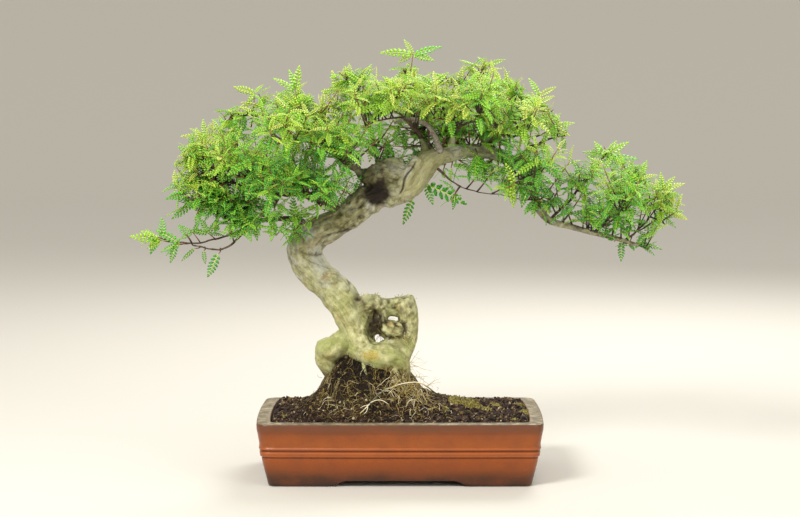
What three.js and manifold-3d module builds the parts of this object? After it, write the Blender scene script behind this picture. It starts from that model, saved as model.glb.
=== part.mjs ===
// Japanese pepper bonsai (Zanthoxylum piperitum) in its oblong glazed pot.
// Millimetres, +Z up. X runs along the pot's long side and Y runs from its front to its back.
// The shapes are laid out about the middle of the pot, on the ground. The last lines move the
// group so that its origin is on the ground under the middle of the whole plant's box.

import * as THREE from 'three';
import { mergeVertices } from 'three/addons/utils/BufferGeometryUtils.js';
import Module from 'manifold-3d';

const wasm = await Module();
wasm.setup();

// Pot
const potLength = 305.5; // over the rim
const potDepth = 182; // over the rim
const potHeight = 68;
const potCornerRadius = 12;
const longSideBow = 1.5; // how far the middle of a long side swells out
const shortSideBow = 2.3;
const rimWidth = 14;
const floorTop = 14; // height of the inside floor
const cavityDraft = 7; // how much the inside narrows from rim to floor
const footRise = 6; // height of the arch between the feet
const longArch = 69; // half length of the arch under the long sides
const shortArch = 40; // half length of the arch under the short sides
const archSlant = 7;
const drainHoleRadius = 10;
const drainHoleX = 75;

// Outside wall of the pot as height and how far it stands in from the rim's outline:
// foot, lower wall, groove, broad bead, groove, narrow bead, upper wall and upright lip
const potWall = [
  [0, 12], [14, 8.6], [30.8, 5], [31.6, 6], [32.4, 3.9], [37.6, 3.1], [38.4, 5],
  [39.4, 4.8], [40.2, 2.6], [42.2, 2.5], [43.4, 3.4], [58, 1.1], [59.5, 0.3], [66.4, 0], [68, 1.2],
];

// Soil
const soilLevel = 67; // at the middle of the pot's short sides
const soilSlope = 3.2; // how much lower it is at the front wall and higher at the back wall
const soilEdgeDip = 1.8; // how much it sinks just beside the wall
const mound = { x: -22, y: 0, height: 30, length: 82, depth: 52 }; // the broad rise of soil
const rootPad = { x: -37, y: 0, height: 34, length: 45, depth: 38 }; // steep pad of fine roots

// Drainage screens
const screenSide = 30;
const screenThickness = 1.2;
const screenHole = 9;
const screenHolesPerSide = 2;

// Gap that stays between pieces that touch
const seatGap = 0.3;

// Wood paths. Each point is x, y, z and the radius of the wood there.
const trunk = [
  [-48, 3, 108, 13], [-41, 0, 132, 16.5], [-45, 0, 151, 16], [-52, 0, 171, 18.5], [-59, 0, 185, 18.5],
  [-74, 2, 202, 18], [-93, 6, 220, 18], [-102, 9, 235, 19], [-102, 10, 248, 19.5],
  [-91, 8, 260, 18], [-76, 4, 267, 16], [-61, 0, 276, 15], [-42, -4, 291, 15.5],
  [-24, -6, 303, 16.5], [-5, -4, 305, 14.5], [9, 0, 310, 14], [19, 4, 323, 13.5],
  [30, 6, 337, 13.5], [41, 8, 344, 10.5],
];
const cascade = [
  [41, 8, 344, 10], [54, 9, 345, 8.5], [68, 8, 349, 8], [84, 6, 349, 7.5], [102, 2, 345, 6.5],
  [121, -3, 338, 6], [135, -6, 328, 5.5], [142, -8, 311, 5], [147, -8, 290, 4.5],
  [160, -6, 275, 4], [180, -4, 269, 3.5], [208, -2, 261, 3], [232, 0, 255, 3], [258, 2, 247, 2],
];

// Roots, the old stump beside the trunk and the stubs of lost limbs
const rootsAndStubs = {
  kneeRoot: [
    [-48, 2, 154, 14.5], [-60, 4, 142, 14], [-70, 4, 136, 14], [-77, 3, 132, 14],
    [-81, 2, 125, 11.5], [-78, 0, 117, 9.5], [-72, 0, 105, 8], [-66, 0, 76, 6],
  ],
  frontRoot: [
    [-46, -4, 149, 14], [-37, -14, 136, 13], [-24, -19, 129, 13], [-10, -18, 127, 12.5],
    [0, -14, 122, 10.5], [2, -10, 111, 9], [2, -8, 76, 6],
  ],
  backRoot: [[-41, 6, 140, 12], [-33, 14, 119, 11], [-31, 18, 101, 10], [-31, 18, 72, 6]],
  rootCrown: [[-68, 0, 82, 7], [-46, 5, 84, 11], [-22, 5, 84, 12], [4, -8, 82, 7]],
  stump: [
    [2, -8, 126, 8.5], [9, 2, 142, 8.5], [11, 4, 160, 9], [10, 4, 176, 9.5], [5, 2, 191, 10],
  ],
  stumpBridge: [[6, 2, 185, 8.5], [-11, 0, 185, 8], [-27, -2, 183, 9.5], [-43, -2, 182, 11]],
  rootLobe: [[-24, -14, 133, 8.5], [-14, -9, 141, 7], [-2, -5, 142, 7.5], [5, -3, 140, 7.5]],
  burl: [[-17, -2, 182, 6.5], [-15, -5, 172, 8], [-6, -7, 159, 12], [2, -4, 148, 8.5]],
  innerWeb: [[-30, 6, 179, 8.5], [-26, 8, 165, 8], [-22, 8, 151, 7], [-9, 4, 141, 6.5]],
  scarCallus: [[-21, -8, 301, 14], [-24, -4, 314, 14.5], [-21, 0, 326, 13], [-20, 2, 332, 9]],
  callusRidge: [[-36, -4, 320, 9], [-20, -8, 326, 11], [-4, -6, 326, 11], [8, 0, 326, 9]],
  bendStub: [[-104, 8, 242, 14], [-111, 6, 253, 9.5], [-115, 4, 257, 6.5]],
};

// Hollows in the wood: centre and half sizes
const hollows = [
  { at: [-27, -25, 302], size: [15, 11, 13] }, // the big pruning scar
  { at: [5, 1, 193], size: [6, 6, 5] }, // the rotted top of the stump
];

// Limbs and their side branches
const limbs = {
  lowLeft: [
    [-88, 6, 262, 6.5], [-107, -4, 274, 5.5], [-132, -12, 277, 4.5], [-156, -16, 274, 4],
    [-167, -18, 262, 3], [-190, -18, 245, 2], [-222, -14, 250, 1.3],
  ],
  farLeft: [
    [-156, -16, 274, 3], [-175, -10, 262, 2.5], [-197, -6, 255, 2], [-217, -4, 250, 1.8],
    [-244, -2, 251, 1.3],
  ],
  midLeft: [
    [-58, 2, 279, 6], [-80, -6, 294, 5], [-109, -14, 303, 4.5], [-138, -20, 305, 3.5],
    [-170, -24, 314, 3], [-199, -24, 328, 1.8],
  ],
  midLeftFront: [
    [-80, -6, 294, 3.5], [-90, -35, 304, 3], [-110, -60, 311, 2.4], [-135, -72, 318, 1.6],
  ],
  midLeftBack: [
    [-109, -14, 303, 3.5], [-124, 20, 317, 3], [-151, 50, 324, 2.3], [-172, 66, 332, 1.6],
  ],
  highLeft: [
    [-32, -2, 314, 6], [-51, -4, 334, 5], [-75, -4, 352, 4.5], [-104, 0, 369, 3.5],
    [-134, 4, 384, 2.5], [-152, 6, 388, 1.7],
  ],
  highLeftFront: [
    [-51, -4, 334, 3.5], [-65, -30, 349, 3], [-78, -54, 358, 2.4], [-98, -72, 362, 1.6],
  ],
  highLeftBack: [
    [-51, -4, 334, 3.5], [-70, 28, 349, 3.2], [-96, 56, 362, 2.4], [-114, 74, 368, 1.7],
  ],
  crownLeft: [
    [-17, 2, 316, 5.5], [-24, 4, 341, 4.5], [-32, 4, 369, 3.5], [-41, 4, 395, 2.5],
    [-48, 4, 408, 1.8],
  ],
  crown: [
    [32, 8, 341, 6.5], [23, 14, 362, 5], [13, 16, 388, 4], [9, 14, 414, 3], [7, 12, 434, 1.8],
  ],
  crownFront: [[23, 14, 362, 4], [13, -20, 377, 3], [2, -48, 388, 2.4], [-5, -62, 393, 1.6]],
  crownBack: [[23, 14, 362, 4], [27, 45, 375, 3.4], [29, 68, 383, 2.4], [28, 80, 386, 1.8]],
  crownRight: [[52, 9, 345, 5.5], [58, 6, 369, 4.5], [69, 4, 395, 3], [79, 2, 418, 1.8]],
  crownRightFront: [[58, 6, 369, 3.5], [63, -25, 375, 3], [71, -48, 380, 2.4], [78, -60, 382, 1.6]],
  shoulder: [
    [84, 6, 349, 5], [99, 6, 369, 4], [116, 6, 386, 3], [135, 6, 392, 2], [146, 6, 393, 1.4],
  ],
  shoulderBack: [[99, 6, 369, 3], [105, 36, 379, 2.8], [102, 60, 385, 2]],
  shoulderFront: [[99, 6, 369, 3], [108, -20, 368, 2.8], [120, -38, 366, 2]],
  rightShoulder: [[121, -3, 338, 4.5], [141, 0, 352, 3.5], [158, 2, 361, 2]],
  rightFront: [[107, 0, 342, 3.5], [117, -22, 332, 3], [130, -40, 323, 1.8]],
  cascadeRise: [
    [160, -6, 275, 3], [178, -4, 293, 3], [195, 0, 312, 2.5], [210, 4, 330, 2], [217, 5, 341, 1.5],
  ],
  cascadeHead: [[208, -2, 261, 3], [228, 4, 280, 2.5], [245, 8, 300, 2], [253, 9, 310, 1.5]],
  cascadeFront: [[208, -2, 261, 2.5], [219, -20, 272, 2], [228, -36, 280, 1.5]],
  cascadeBack: [[208, -2, 261, 2.5], [223, 22, 271, 2], [240, 42, 282, 1.5]],
  cascadeTip: [[242, 1, 253, 2.5], [260, 2, 268, 2], [273, 2, 284, 1.4]],
  scarTwig: [
    [36, 6, 334, 4], [58, -2, 315, 2], [77, -6, 307, 1.6], [110, -8, 302, 1.4], [132, -8, 297, 1.2],
  ],
  deadLimb: [
    [43, 2, 348, 4.5], [38, -4, 363, 3], [30, -8, 376, 2.5], [18, -10, 382, 2.5], [5, -12, 383, 2.2],
    [-6, -12, 379, 1.4],
  ],
};

// Roots that run out over the mound: heading in degrees, how far they reach from the middle of
// the mound, and radius
const surfaceRoots = [
  { heading: 4, to: 88, radius: 3.2 },
  { heading: 74, to: 56, radius: 2.8 },
  { heading: 172, to: 80, radius: 3.2 },
  { heading: 228, to: 66, radius: 2.8 },
  { heading: 272, to: 62, radius: 3 },
  { heading: 322, to: 84, radius: 3 },
];

// Leaves
const leafLength = 34;
const leafHalfWidth = 7.6;
const leafThickness = 1.3;
const leafRibWidth = 1.5;
const leafStalk = 0.22; // share of a leaf's length with no leaflets
const leafPairs = 3;
const leafPairSpan = 0.19; // share of its length for each pair of leaflets
const leafDroop = 62; // degrees from the first to the last stretch of the rib
const leafletRise = 0.22;
const leafClearOfTwig = 2.5; // how far out on its stalk a leaf is tried for clearance
const sideLeafPitch = 20; // degrees above level at which a side leaf starts
const topLeafPitch = 48;
const leafSpacing = 5; // along the twig, between one leaf and the next
const twigRadius = 1.5;
const twigRise = 0.12; // how far a twig bows up, as a share of its length

// Sprays: the limb that carries each one, the middle of its head of foliage, the heading of its
// last leaf in degrees, how steeply that leaf starts, and the number of leaves
const sprays = {
  farTip: { on: 'farLeft', at: [-265, 0, 256], heading: 180, pitch: 12, leaves: 3 },
  farLow: { on: 'lowLeft', at: [-222, -30, 262], heading: 215, pitch: 0, leaves: 3 },
  leftEnd: { on: 'midLeft', at: [-224, -22, 339], heading: 170, pitch: 38, leaves: 4 },
  leftLow: { on: 'midLeft', along: 0.86, at: [-214, 2, 296], heading: 190, pitch: 15, leaves: 3 },
  upLeft: { on: 'highLeft', at: [-185, 6, 379], heading: 165, pitch: 45, leaves: 4 },
  leftFront: { on: 'midLeftFront', at: [-168, -60, 322], heading: 225, pitch: 25, leaves: 3 },
  highEnd: { on: 'highLeft', at: [-144, 6, 408], heading: 150, pitch: 55, leaves: 4 },
  leftBrow: { on: 'highLeftFront', at: [-128, -78, 356], heading: 240, pitch: 25, leaves: 3 },
  frontLow: { on: 'midLeftFront', at: [-130, -64, 290], heading: 260, pitch: 0, leaves: 3 },
  frontSkirt: { on: 'midLeftFront', at: [-84, -52, 290], heading: 290, pitch: 10, leaves: 3 },
  highMid: { on: 'highLeft', at: [-101, 0, 408], heading: 60, pitch: 60, leaves: 3 },
  backLeft: { on: 'midLeftBack', at: [-188, 74, 348], heading: 135, pitch: 30, leaves: 3 },
  backHigh: { on: 'highLeftBack', at: [-122, 82, 379], heading: 105, pitch: 35, leaves: 3 },
  backLow: { on: 'midLeftBack', at: [-150, 60, 298], heading: 100, pitch: 5, leaves: 3 },
  lowMid: { on: 'lowLeft', at: [-166, -30, 282], heading: 200, pitch: 20, leaves: 3 },
  crownLeft: { on: 'crownLeft', at: [-58, 4, 424], heading: 160, pitch: 60, leaves: 4 },
  crownMid: { on: 'crown', along: 0.72, at: [-20, 8, 432], heading: 40, pitch: 60, leaves: 3 },
  crown: { on: 'crown', at: [6, 12, 447], heading: 100, pitch: 88, leaves: 4 },
  crownRight: { on: 'crownRight', at: [46, 6, 424], heading: 120, pitch: 55, leaves: 3 },
  crownEnd: { on: 'crownRight', at: [87, 0, 434], heading: 30, pitch: 55, leaves: 4 },
  shoulderTop: { on: 'shoulder', at: [120, 6, 411], heading: 70, pitch: 50, leaves: 3 },
  shoulderEnd: { on: 'shoulder', at: [156, 6, 397], heading: 5, pitch: 30, leaves: 3 },
  faceLeft: { on: 'crownFront', along: 0.75, at: [-36, -54, 374], heading: 230, pitch: 20, leaves: 3 },
  faceMid: { on: 'crownFront', at: [-6, -74, 400], heading: 270, pitch: 40, leaves: 4 },
  faceRight: { on: 'crownRightFront', at: [34, -48, 382], heading: 250, pitch: 25, leaves: 3 },
  faceEnd: { on: 'crownRightFront', at: [82, -70, 388], heading: 290, pitch: 30, leaves: 3 },
  faceShoulder: { on: 'shoulderFront', at: [130, -52, 368], heading: 300, pitch: 20, leaves: 3 },
  rightEnd: { on: 'rightShoulder', at: [173, 2, 367], heading: 355, pitch: 30, leaves: 3 },
  backCrown: { on: 'crownBack', at: [24, 92, 394], heading: 90, pitch: 35, leaves: 3 },
  backShoulder: { on: 'shoulderBack', at: [99, 76, 392], heading: 75, pitch: 30, leaves: 3 },
  scarSkirt: { on: 'highLeftFront', at: [-54, -56, 334], heading: 250, pitch: 0, leaves: 3 },
  rightFall: { on: 'rightFront', at: [144, -52, 321], heading: 315, pitch: 10, leaves: 3 },
  hanging: { on: 'scarTwig', at: [56, -16, 298], heading: 255, pitch: -20, leaves: 3 },
  lowTip: { on: 'scarTwig', at: [146, -16, 296], heading: 320, pitch: 0, leaves: 3 },
  cascadeTop: { on: 'cascadeRise', at: [221, 6, 353], heading: 60, pitch: 50, leaves: 4 },
  cascadeLow: { on: 'cascadeRise', at: [200, -12, 300], heading: 250, pitch: 25, leaves: 3 },
  cascadeHead: { on: 'cascadeHead', at: [259, 10, 322], heading: 80, pitch: 45, leaves: 4 },
  tipHead: { on: 'cascadeTip', at: [280, 2, 298], heading: 0, pitch: 35, leaves: 4 },
  cascadeFace: { on: 'cascadeFront', at: [234, -50, 287], heading: 285, pitch: 15, leaves: 3 },
  tipLow: { on: 'cascadeTip', at: [278, -12, 270], heading: 340, pitch: 5, leaves: 3 },
  tipFall: { on: 'cascade', at: [262, 2, 244], heading: 330, pitch: -15, leaves: 3 },
  cascadeRear: { on: 'cascadeBack', at: [252, 56, 293], heading: 80, pitch: 25, leaves: 3 },
};

// Colours
const material = (color, roughness) => new THREE.MeshStandardMaterial({ color, roughness, metalness: 0 });
const glaze = material('#a8552c', 0.35);
const peat = material('#33241c', 0.95);
const meshPlastic = material('#2c2f31', 0.6);
const bark = material('#7c7757', 0.85);
const youngLeaf = material('#8fc23a', 0.55);
const grownLeaf = material('#5f9a2b', 0.5);
const shadeLeaf = material('#3f7a26', 0.5);

// Solid from a list of corners and a list of triangles
function solidFrom(corners, triangles) {
  return new wasm.Manifold(new wasm.Mesh({
    numProp: 3,
    vertProperties: Float32Array.from(corners.flatMap((corner) => corner.toArray())),
    triVerts: Uint32Array.from(triangles.flat()),
  }));
}

// Solid between rings of corners. Every ring turns the same way round the line that joins them.
function loft(rings) {
  const sides = rings[0].length;
  const last = (rings.length - 1) * sides;
  const triangles = [];
  for (let ring = 0; ring < rings.length - 1; ring += 1) {
    for (let side = 0; side < sides; side += 1) {
      const next = (side + 1) % sides;
      const a = ring * sides + side;
      const b = ring * sides + next;
      triangles.push([a, b, b + sides], [a, b + sides, a + sides]);
    }
  }
  for (let side = 1; side < sides - 1; side += 1) {
    triangles.push([0, side + 1, side], [last, last + side, last + side + 1]);
  }
  return solidFrom(rings.flat(), triangles);
}

function joined(solids) {
  return solids.reduce((sum, solid) => sum.add(solid));
}

function meshOf(name, solid, surface) {
  const { vertProperties, triVerts } = solid.getMesh();
  const geometry = new THREE.BufferGeometry();
  geometry.setAttribute('position', new THREE.BufferAttribute(vertProperties, 3));
  geometry.setIndex(new THREE.BufferAttribute(triVerts, 1));
  geometry.computeVertexNormals();
  const mesh = new THREE.Mesh(geometry, surface);
  mesh.name = name;
  return mesh;
}

// Solid of a three.js geometry
function solidOf(geometry) {
  const bare = geometry.clone();
  bare.deleteAttribute('normal');
  bare.deleteAttribute('uv');
  const merged = mergeVertices(bare);
  const corners = [];
  for (let i = 0; i < merged.attributes.position.count; i += 1) {
    corners.push(new THREE.Vector3().fromBufferAttribute(merged.attributes.position, i));
  }
  const index = merged.index.array;
  const triangles = [];
  for (let i = 0; i < index.length; i += 3) {
    triangles.push([index[i], index[i + 1], index[i + 2]]);
  }
  return solidFrom(corners, triangles);
}

function boxSolid(sizeX, sizeY, sizeZ, x, y, z) {
  return solidOf(new THREE.BoxGeometry(sizeX, sizeY, sizeZ).translate(x, y, z));
}

// Pot

function cornerOf(ring, x, y, radius, startDegrees) {
  const steps = 4;
  for (let step = 0; step <= steps; step += 1) {
    const angle = THREE.MathUtils.degToRad(startDegrees + (90 * step) / steps);
    ring.push(new THREE.Vector3(x + radius * Math.cos(angle), y + radius * Math.sin(angle), 0));
  }
}

// Oblong outline with round corners and bowed sides, a set distance in from the rim's outline
function potOutline(inset, height, cornerRadius) {
  const halfX = potLength / 2 - inset;
  const halfY = potDepth / 2 - inset;
  const x = halfX - shortSideBow - cornerRadius;
  const y = halfY - longSideBow - cornerRadius;
  const ring = [new THREE.Vector3(halfX, 0, 0)];
  cornerOf(ring, x, y, cornerRadius, 0);
  ring.push(new THREE.Vector3(0, halfY, 0));
  cornerOf(ring, -x, y, cornerRadius, 90);
  ring.push(new THREE.Vector3(-halfX, 0, 0));
  cornerOf(ring, -x, -y, cornerRadius, 180);
  ring.push(new THREE.Vector3(0, -halfY, 0));
  cornerOf(ring, x, -y, cornerRadius, 270);
  return ring.map((corner) => corner.setZ(height));
}

// Slanted-ended channel that leaves the feet standing on both sides of it
function footArch(halfWidth, length) {
  const below = 1;
  const spread = (archSlant * below) / footRise;
  const shape = new THREE.Shape([
    new THREE.Vector2(-halfWidth - spread, -below),
    new THREE.Vector2(halfWidth + spread, -below),
    new THREE.Vector2(halfWidth - archSlant * 0.7, footRise * 0.5),
    new THREE.Vector2(halfWidth - archSlant, footRise),
    new THREE.Vector2(-halfWidth + archSlant, footRise),
    new THREE.Vector2(-halfWidth + archSlant * 0.7, footRise * 0.5),
  ]);
  return new THREE.ExtrudeGeometry(shape, { depth: length, bevelEnabled: false, steps: 1 })
    .translate(0, 0, -length / 2)
    .rotateX(Math.PI / 2);
}

function potSolid() {
  const footWall = 22;
  const outside = loft(potWall.map(([height, inset]) => (
    potOutline(inset, height, potCornerRadius - inset * 0.3))));
  const inside = loft([
    potOutline(rimWidth + cavityDraft + 3, floorTop, 5),
    potOutline(rimWidth + cavityDraft, floorTop + 3, 7),
    potOutline(rimWidth + 0.8, potHeight - 1, 8),
    potOutline(rimWidth, potHeight, 8.5),
    potOutline(rimWidth, potHeight + 1, 8.5),
  ]);
  const archAlongY = solidOf(footArch(longArch, potDepth * 1.2));
  const archAlongX = solidOf(footArch(shortArch, potLength * 1.2).rotateZ(Math.PI / 2));
  const recess = boxSolid(
    potLength - 2 * (potWall[0][1] + footWall), potDepth - 2 * (potWall[0][1] + footWall),
    footRise * 2, 0, 0, 0,
  );
  let pot = outside.subtract(inside).subtract(archAlongY).subtract(archAlongX).subtract(recess);
  for (const x of [-drainHoleX, drainHoleX]) {
    const hole = new THREE.CylinderGeometry(drainHoleRadius, drainHoleRadius, floorTop * 3, 16);
    pot = pot.subtract(solidOf(hole.rotateX(Math.PI / 2).translate(x, 0, 0)));
  }
  return pot;
}

// Square of coarse plastic netting that keeps the soil off a drainage hole
function screenSolid(centreX) {
  const height = floorTop + seatGap + screenThickness / 2;
  const pitch = screenSide / (screenHolesPerSide + 0.3);
  const middle = (screenHolesPerSide - 1) / 2;
  let netting = boxSolid(screenSide, screenSide, screenThickness, centreX, 0, height);
  for (let row = 0; row < screenHolesPerSide; row += 1) {
    for (let column = 0; column < screenHolesPerSide; column += 1) {
      const x = centreX + (column - middle) * pitch;
      const y = (row - middle) * pitch;
      netting = netting.subtract(boxSolid(screenHole, screenHole, screenThickness * 3, x, y, height));
    }
  }
  return netting;
}

// Soil

function soilHeight(x, y) {
  const wallX = potLength / 2 - rimWidth;
  const wallY = potDepth / 2 - rimWidth;
  const wall = Math.min(Math.max(Math.abs(x) / wallX, Math.abs(y) / wallY), 1);
  const level = soilLevel + (soilSlope * y) / wallY - soilEdgeDip * wall ** 12;
  const broad = Math.exp(-(((x - mound.x) / mound.length) ** 2) - ((y - mound.y) / mound.depth) ** 2);
  const steep = Math.exp(
    -(((x - rootPad.x) / rootPad.length) ** 6) - ((y - rootPad.y) / rootPad.depth) ** 4);
  return level + (mound.height * broad + rootPad.height * steep) * (1 - wall ** 6);
}

function soilSolid() {
  const edge = potOutline(rimWidth + 1.2 + seatGap, 0, 8)
    .map(({ x, y }) => new THREE.Vector3(x, y, soilHeight(x, y)));
  const rings = [
    potOutline(rimWidth + cavityDraft + 3 + seatGap, floorTop + seatGap, 5),
    potOutline(rimWidth + cavityDraft + seatGap, floorTop + 3 + seatGap, 7),
    edge,
  ];
  for (const share of [0.82, 0.6, 0.44, 0.28]) {
    rings.push(edge.map((corner) => {
      const x = rootPad.x + (corner.x - rootPad.x) * share;
      const y = rootPad.y + (corner.y - rootPad.y) * share;
      return new THREE.Vector3(x, y, soilHeight(x, y));
    }));
  }
  return loft(rings);
}

// Wood

// Round rod along a path of points with a radius at each, swollen in slow ribs where ribs is set
function rod(path, sides, stepsPerSpan, { grow = 0, ribs = 0 } = {}) {
  const curve = new THREE.CatmullRomCurve3(path.map(([x, y, z]) => new THREE.Vector3(x, y, z)));
  const spans = path.length - 1;
  const steps = spans * stepsPerSpan;
  const across = new THREE.Vector3(0, 1, 0);
  const turn = new THREE.Quaternion();
  let heading = curve.getTangent(0);
  across.addScaledVector(heading, -across.dot(heading)).normalize();
  const rings = [];
  for (let step = 0; step <= steps; step += 1) {
    const place = step / steps;
    const tangent = curve.getTangent(place);
    across.applyQuaternion(turn.setFromUnitVectors(heading, tangent));
    heading = tangent;
    const up = new THREE.Vector3().crossVectors(tangent, across);
    const span = Math.min(Math.floor(place * spans), spans - 1);
    const radius = THREE.MathUtils.lerp(path[span][3], path[span + 1][3], place * spans - span);
    const centre = curve.getPoint(place);
    centre.addScaledVector(tangent, step === steps ? grow : step === 0 ? -grow : 0);
    rings.push(Array.from({ length: sides }, (unused, side) => {
      const angle = (side / sides) * 2 * Math.PI;
      const swell = 1 + ribs * (Math.sin(3 * angle + step) + 0.7 * Math.sin(5 * angle - 1.7 * step));
      const reach = radius * swell + grow;
      return centre.clone()
        .addScaledVector(across, reach * Math.cos(angle))
        .addScaledVector(up, reach * Math.sin(angle));
    }));
  }
  return loft(rings);
}

// Path that leaves the root crown under the soil and then follows the mound, half sunk in it
function surfaceRootPath({ heading, to, radius }) {
  const path = [[rootPad.x, rootPad.y, 84, radius]];
  for (const share of [0.45, 0.7, 1]) {
    const angle = THREE.MathUtils.degToRad(heading + 8 * Math.sin(7 * share + heading));
    const x = rootPad.x + to * share * Math.cos(angle);
    const y = rootPad.y + to * share * Math.sin(angle) * Math.sqrt(mound.depth / mound.length);
    const thickness = radius * (1.15 - 0.75 * share);
    path.push([x, y, soilHeight(x, y) + thickness * 0.3, thickness]);
  }
  return path;
}

function woodSolid(grow) {
  const parts = [
    rod(trunk, 12, 1, { grow, ribs: 0.035 }),
    rod(cascade, 8, 1, { grow, ribs: 0.02 }),
    ...Object.values(rootsAndStubs).map((path) => rod(path, 7, 1, { grow, ribs: 0.03 })),
    ...Object.values(limbs).map((path) => rod(path, 4, 1, { grow })),
    ...surfaceRoots.map((root) => rod(surfaceRootPath(root), 4, 1, { grow })),
  ];
  return joined(parts);
}

function hollowSolid({ at, size }) {
  return solidOf(new THREE.SphereGeometry(1, 8, 6).scale(...size).translate(...at));
}

// Foliage

function cornersAt({ centre, side, up }, halfWidth, halfHeight) {
  return [[1, 1], [-1, 1], [-1, -1], [1, -1]].map(([a, b]) => centre.clone()
    .addScaledVector(side, a * halfWidth)
    .addScaledVector(up, b * halfHeight));
}

// Unit vectors along, to the left of and above something that points this way
function frameFor(along, headingDegrees) {
  const heading = THREE.MathUtils.degToRad(headingDegrees);
  const side = new THREE.Vector3(-Math.sin(heading), Math.cos(heading), 0);
  return { along, side, up: new THREE.Vector3().crossVectors(along, side) };
}

function direction(headingDegrees, pitchDegrees) {
  const heading = THREE.MathUtils.degToRad(headingDegrees);
  const pitch = THREE.MathUtils.degToRad(pitchDegrees);
  return new THREE.Vector3(
    Math.cos(pitch) * Math.cos(heading), Math.cos(pitch) * Math.sin(heading), Math.sin(pitch));
}

// Places along the arching rib of a leaf: its foot, the start of each pair of leaflets, the start
// of the last leaflet and that leaflet's tip
function leafStations(base, headingDegrees, pitchDegrees) {
  const shares = [0];
  for (let pair = 0; pair <= leafPairs; pair += 1) {
    shares.push(leafStalk + pair * leafPairSpan);
  }
  shares.push(1);
  const centre = base.clone();
  return shares.map((share, i) => {
    const along = direction(headingDegrees, pitchDegrees - leafDroop * share);
    centre.addScaledVector(along, i > 0 ? (share - shares[i - 1]) * leafLength : 0);
    return { centre: centre.clone(), ...frameFor(along, headingDegrees) };
  });
}

// Adds a compound leaf to a mesh, out of a ring of four corners that it already has. Each leaflet
// is thick at the rib and thins to its outer edge, with one fold that its two faces share.
function addLeaf({ corners, triangles }, firstRing, stations, grow) {
  const last = leafPairs + 1;
  const rings = [firstRing];
  for (const station of stations.slice(1, last + 1)) {
    const ring = cornersAt(station, leafRibWidth / 2 + grow, leafThickness / 2 + grow);
    rings.push(ring.map((corner) => corners.push(corner) - 1));
  }
  const strip = (near, far, a, b) => {
    triangles.push([near[a], near[b], far[b]], [near[a], far[b], far[a]]);
  };
  for (const [a, b] of [[0, 1], [1, 2], [2, 3], [3, 0]]) {
    strip(rings[0], rings[1], a, b);
  }
  const pairSpan = leafPairSpan * leafLength;
  for (let i = 1; i < last; i += 1) {
    const near = rings[i];
    const far = rings[i + 1];
    strip(near, far, 0, 1);
    strip(near, far, 2, 3);
    const { centre, along, side, up } = stations[i];
    const reach = leafHalfWidth * (1 - 0.1 * Math.abs(i - 2)) + grow;
    for (const hand of [1, -1]) {
      const [p, q] = [[0.45, 0.78], [1.05, 1]].map(([forward, out]) => corners.push(centre.clone()
        .addScaledVector(along, forward * pairSpan)
        .addScaledVector(side, hand * out * reach)
        .addScaledVector(up, leafletRise * out * reach)) - 1);
      const [top, bottom] = hand > 0 ? [0, 3] : [1, 2];
      const faces = [
        [near[top], q, p], [near[top], far[top], q],
        [near[bottom], p, q], [near[bottom], q, far[bottom]],
        [near[top], p, near[bottom]], [far[top], far[bottom], q],
      ];
      triangles.push(...faces.map(([a, b, c]) => (hand > 0 ? [a, b, c] : [a, c, b])));
    }
  }
  const ring = rings[last];
  const { centre, along, side } = stations[last];
  const endLength = (1 - leafStalk - leafPairs * leafPairSpan) * leafLength;
  const point = corners.push(stations[last + 1].centre.clone()) - 1;
  const [left, right] = [1, -1].map((hand) => corners.push(centre.clone()
    .addScaledVector(along, 0.45 * endLength)
    .addScaledVector(side, hand * (0.42 * leafHalfWidth + grow))) - 1);
  triangles.push(
    [ring[0], point, left], [ring[0], ring[1], point], [ring[1], right, point],
    [ring[3], left, point], [ring[2], ring[3], point], [ring[2], point, right],
    [ring[0], left, ring[3]], [ring[1], ring[2], right],
  );
}

// A leaf by itself, from a little way out along its stalk, to try a place for it
function looseLeaf(stations, grow) {
  const [foot] = stations;
  const start = { ...foot, centre: foot.centre.clone().addScaledVector(foot.along, leafClearOfTwig) };
  const mesh = { corners: cornersAt(start, leafRibWidth / 2, leafThickness / 2), triangles: [] };
  mesh.triangles.push([0, 2, 1], [0, 3, 2]);
  addLeaf(mesh, [0, 1, 2, 3], stations, grow);
  return solidFrom(mesh.corners, mesh.triangles);
}

// Point of a limb's middle line: a set share of the way along it, or else the point that lies
// nearest to a place
function placeOn(path, place, along) {
  const curve = new THREE.CatmullRomCurve3(path.map(([x, y, z]) => new THREE.Vector3(x, y, z)));
  if (along !== undefined) {
    return curve.getPoint(along);
  }
  const points = curve.getPoints(60).slice(12);
  return points.reduce((best, point) => (
    point.distanceTo(place) < best.distanceTo(place) ? point : best));
}

// Places along a twig, from inside the limb to its end, one stretch for each of its side leaves
function twigStations(spray) {
  const end = new THREE.Vector3(...spray.at);
  const start = placeOn(spray.on === 'cascade' ? cascade : limbs[spray.on], end, spray.along);
  const bend = start.clone().lerp(end, 0.55);
  bend.z += start.distanceTo(end) * twigRise;
  const curve = new THREE.QuadraticBezierCurve3(start, bend, end);
  const sideLeaves = spray.leaves - 1;
  const spacing = Math.min(leafSpacing / curve.getLength(), 0.75 / sideLeaves);
  const shares = [0];
  for (let i = sideLeaves; i >= 0; i -= 1) {
    shares.push(1 - i * spacing);
  }
  return shares.map((share) => {
    const along = curve.getTangentAt(share);
    const level = Math.hypot(along.x, along.y) > 0.25;
    const heading = level ? THREE.MathUtils.radToDeg(Math.atan2(along.y, along.x)) : spray.heading;
    return { centre: curve.getPointAt(share), heading, ...frameFor(along, heading) };
  });
}

// Faces of a stretch of twig as pairs of corners: top, right, bottom and left
const twigFaces = [[0, 1], [1, 2], [2, 3], [3, 0]];

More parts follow.
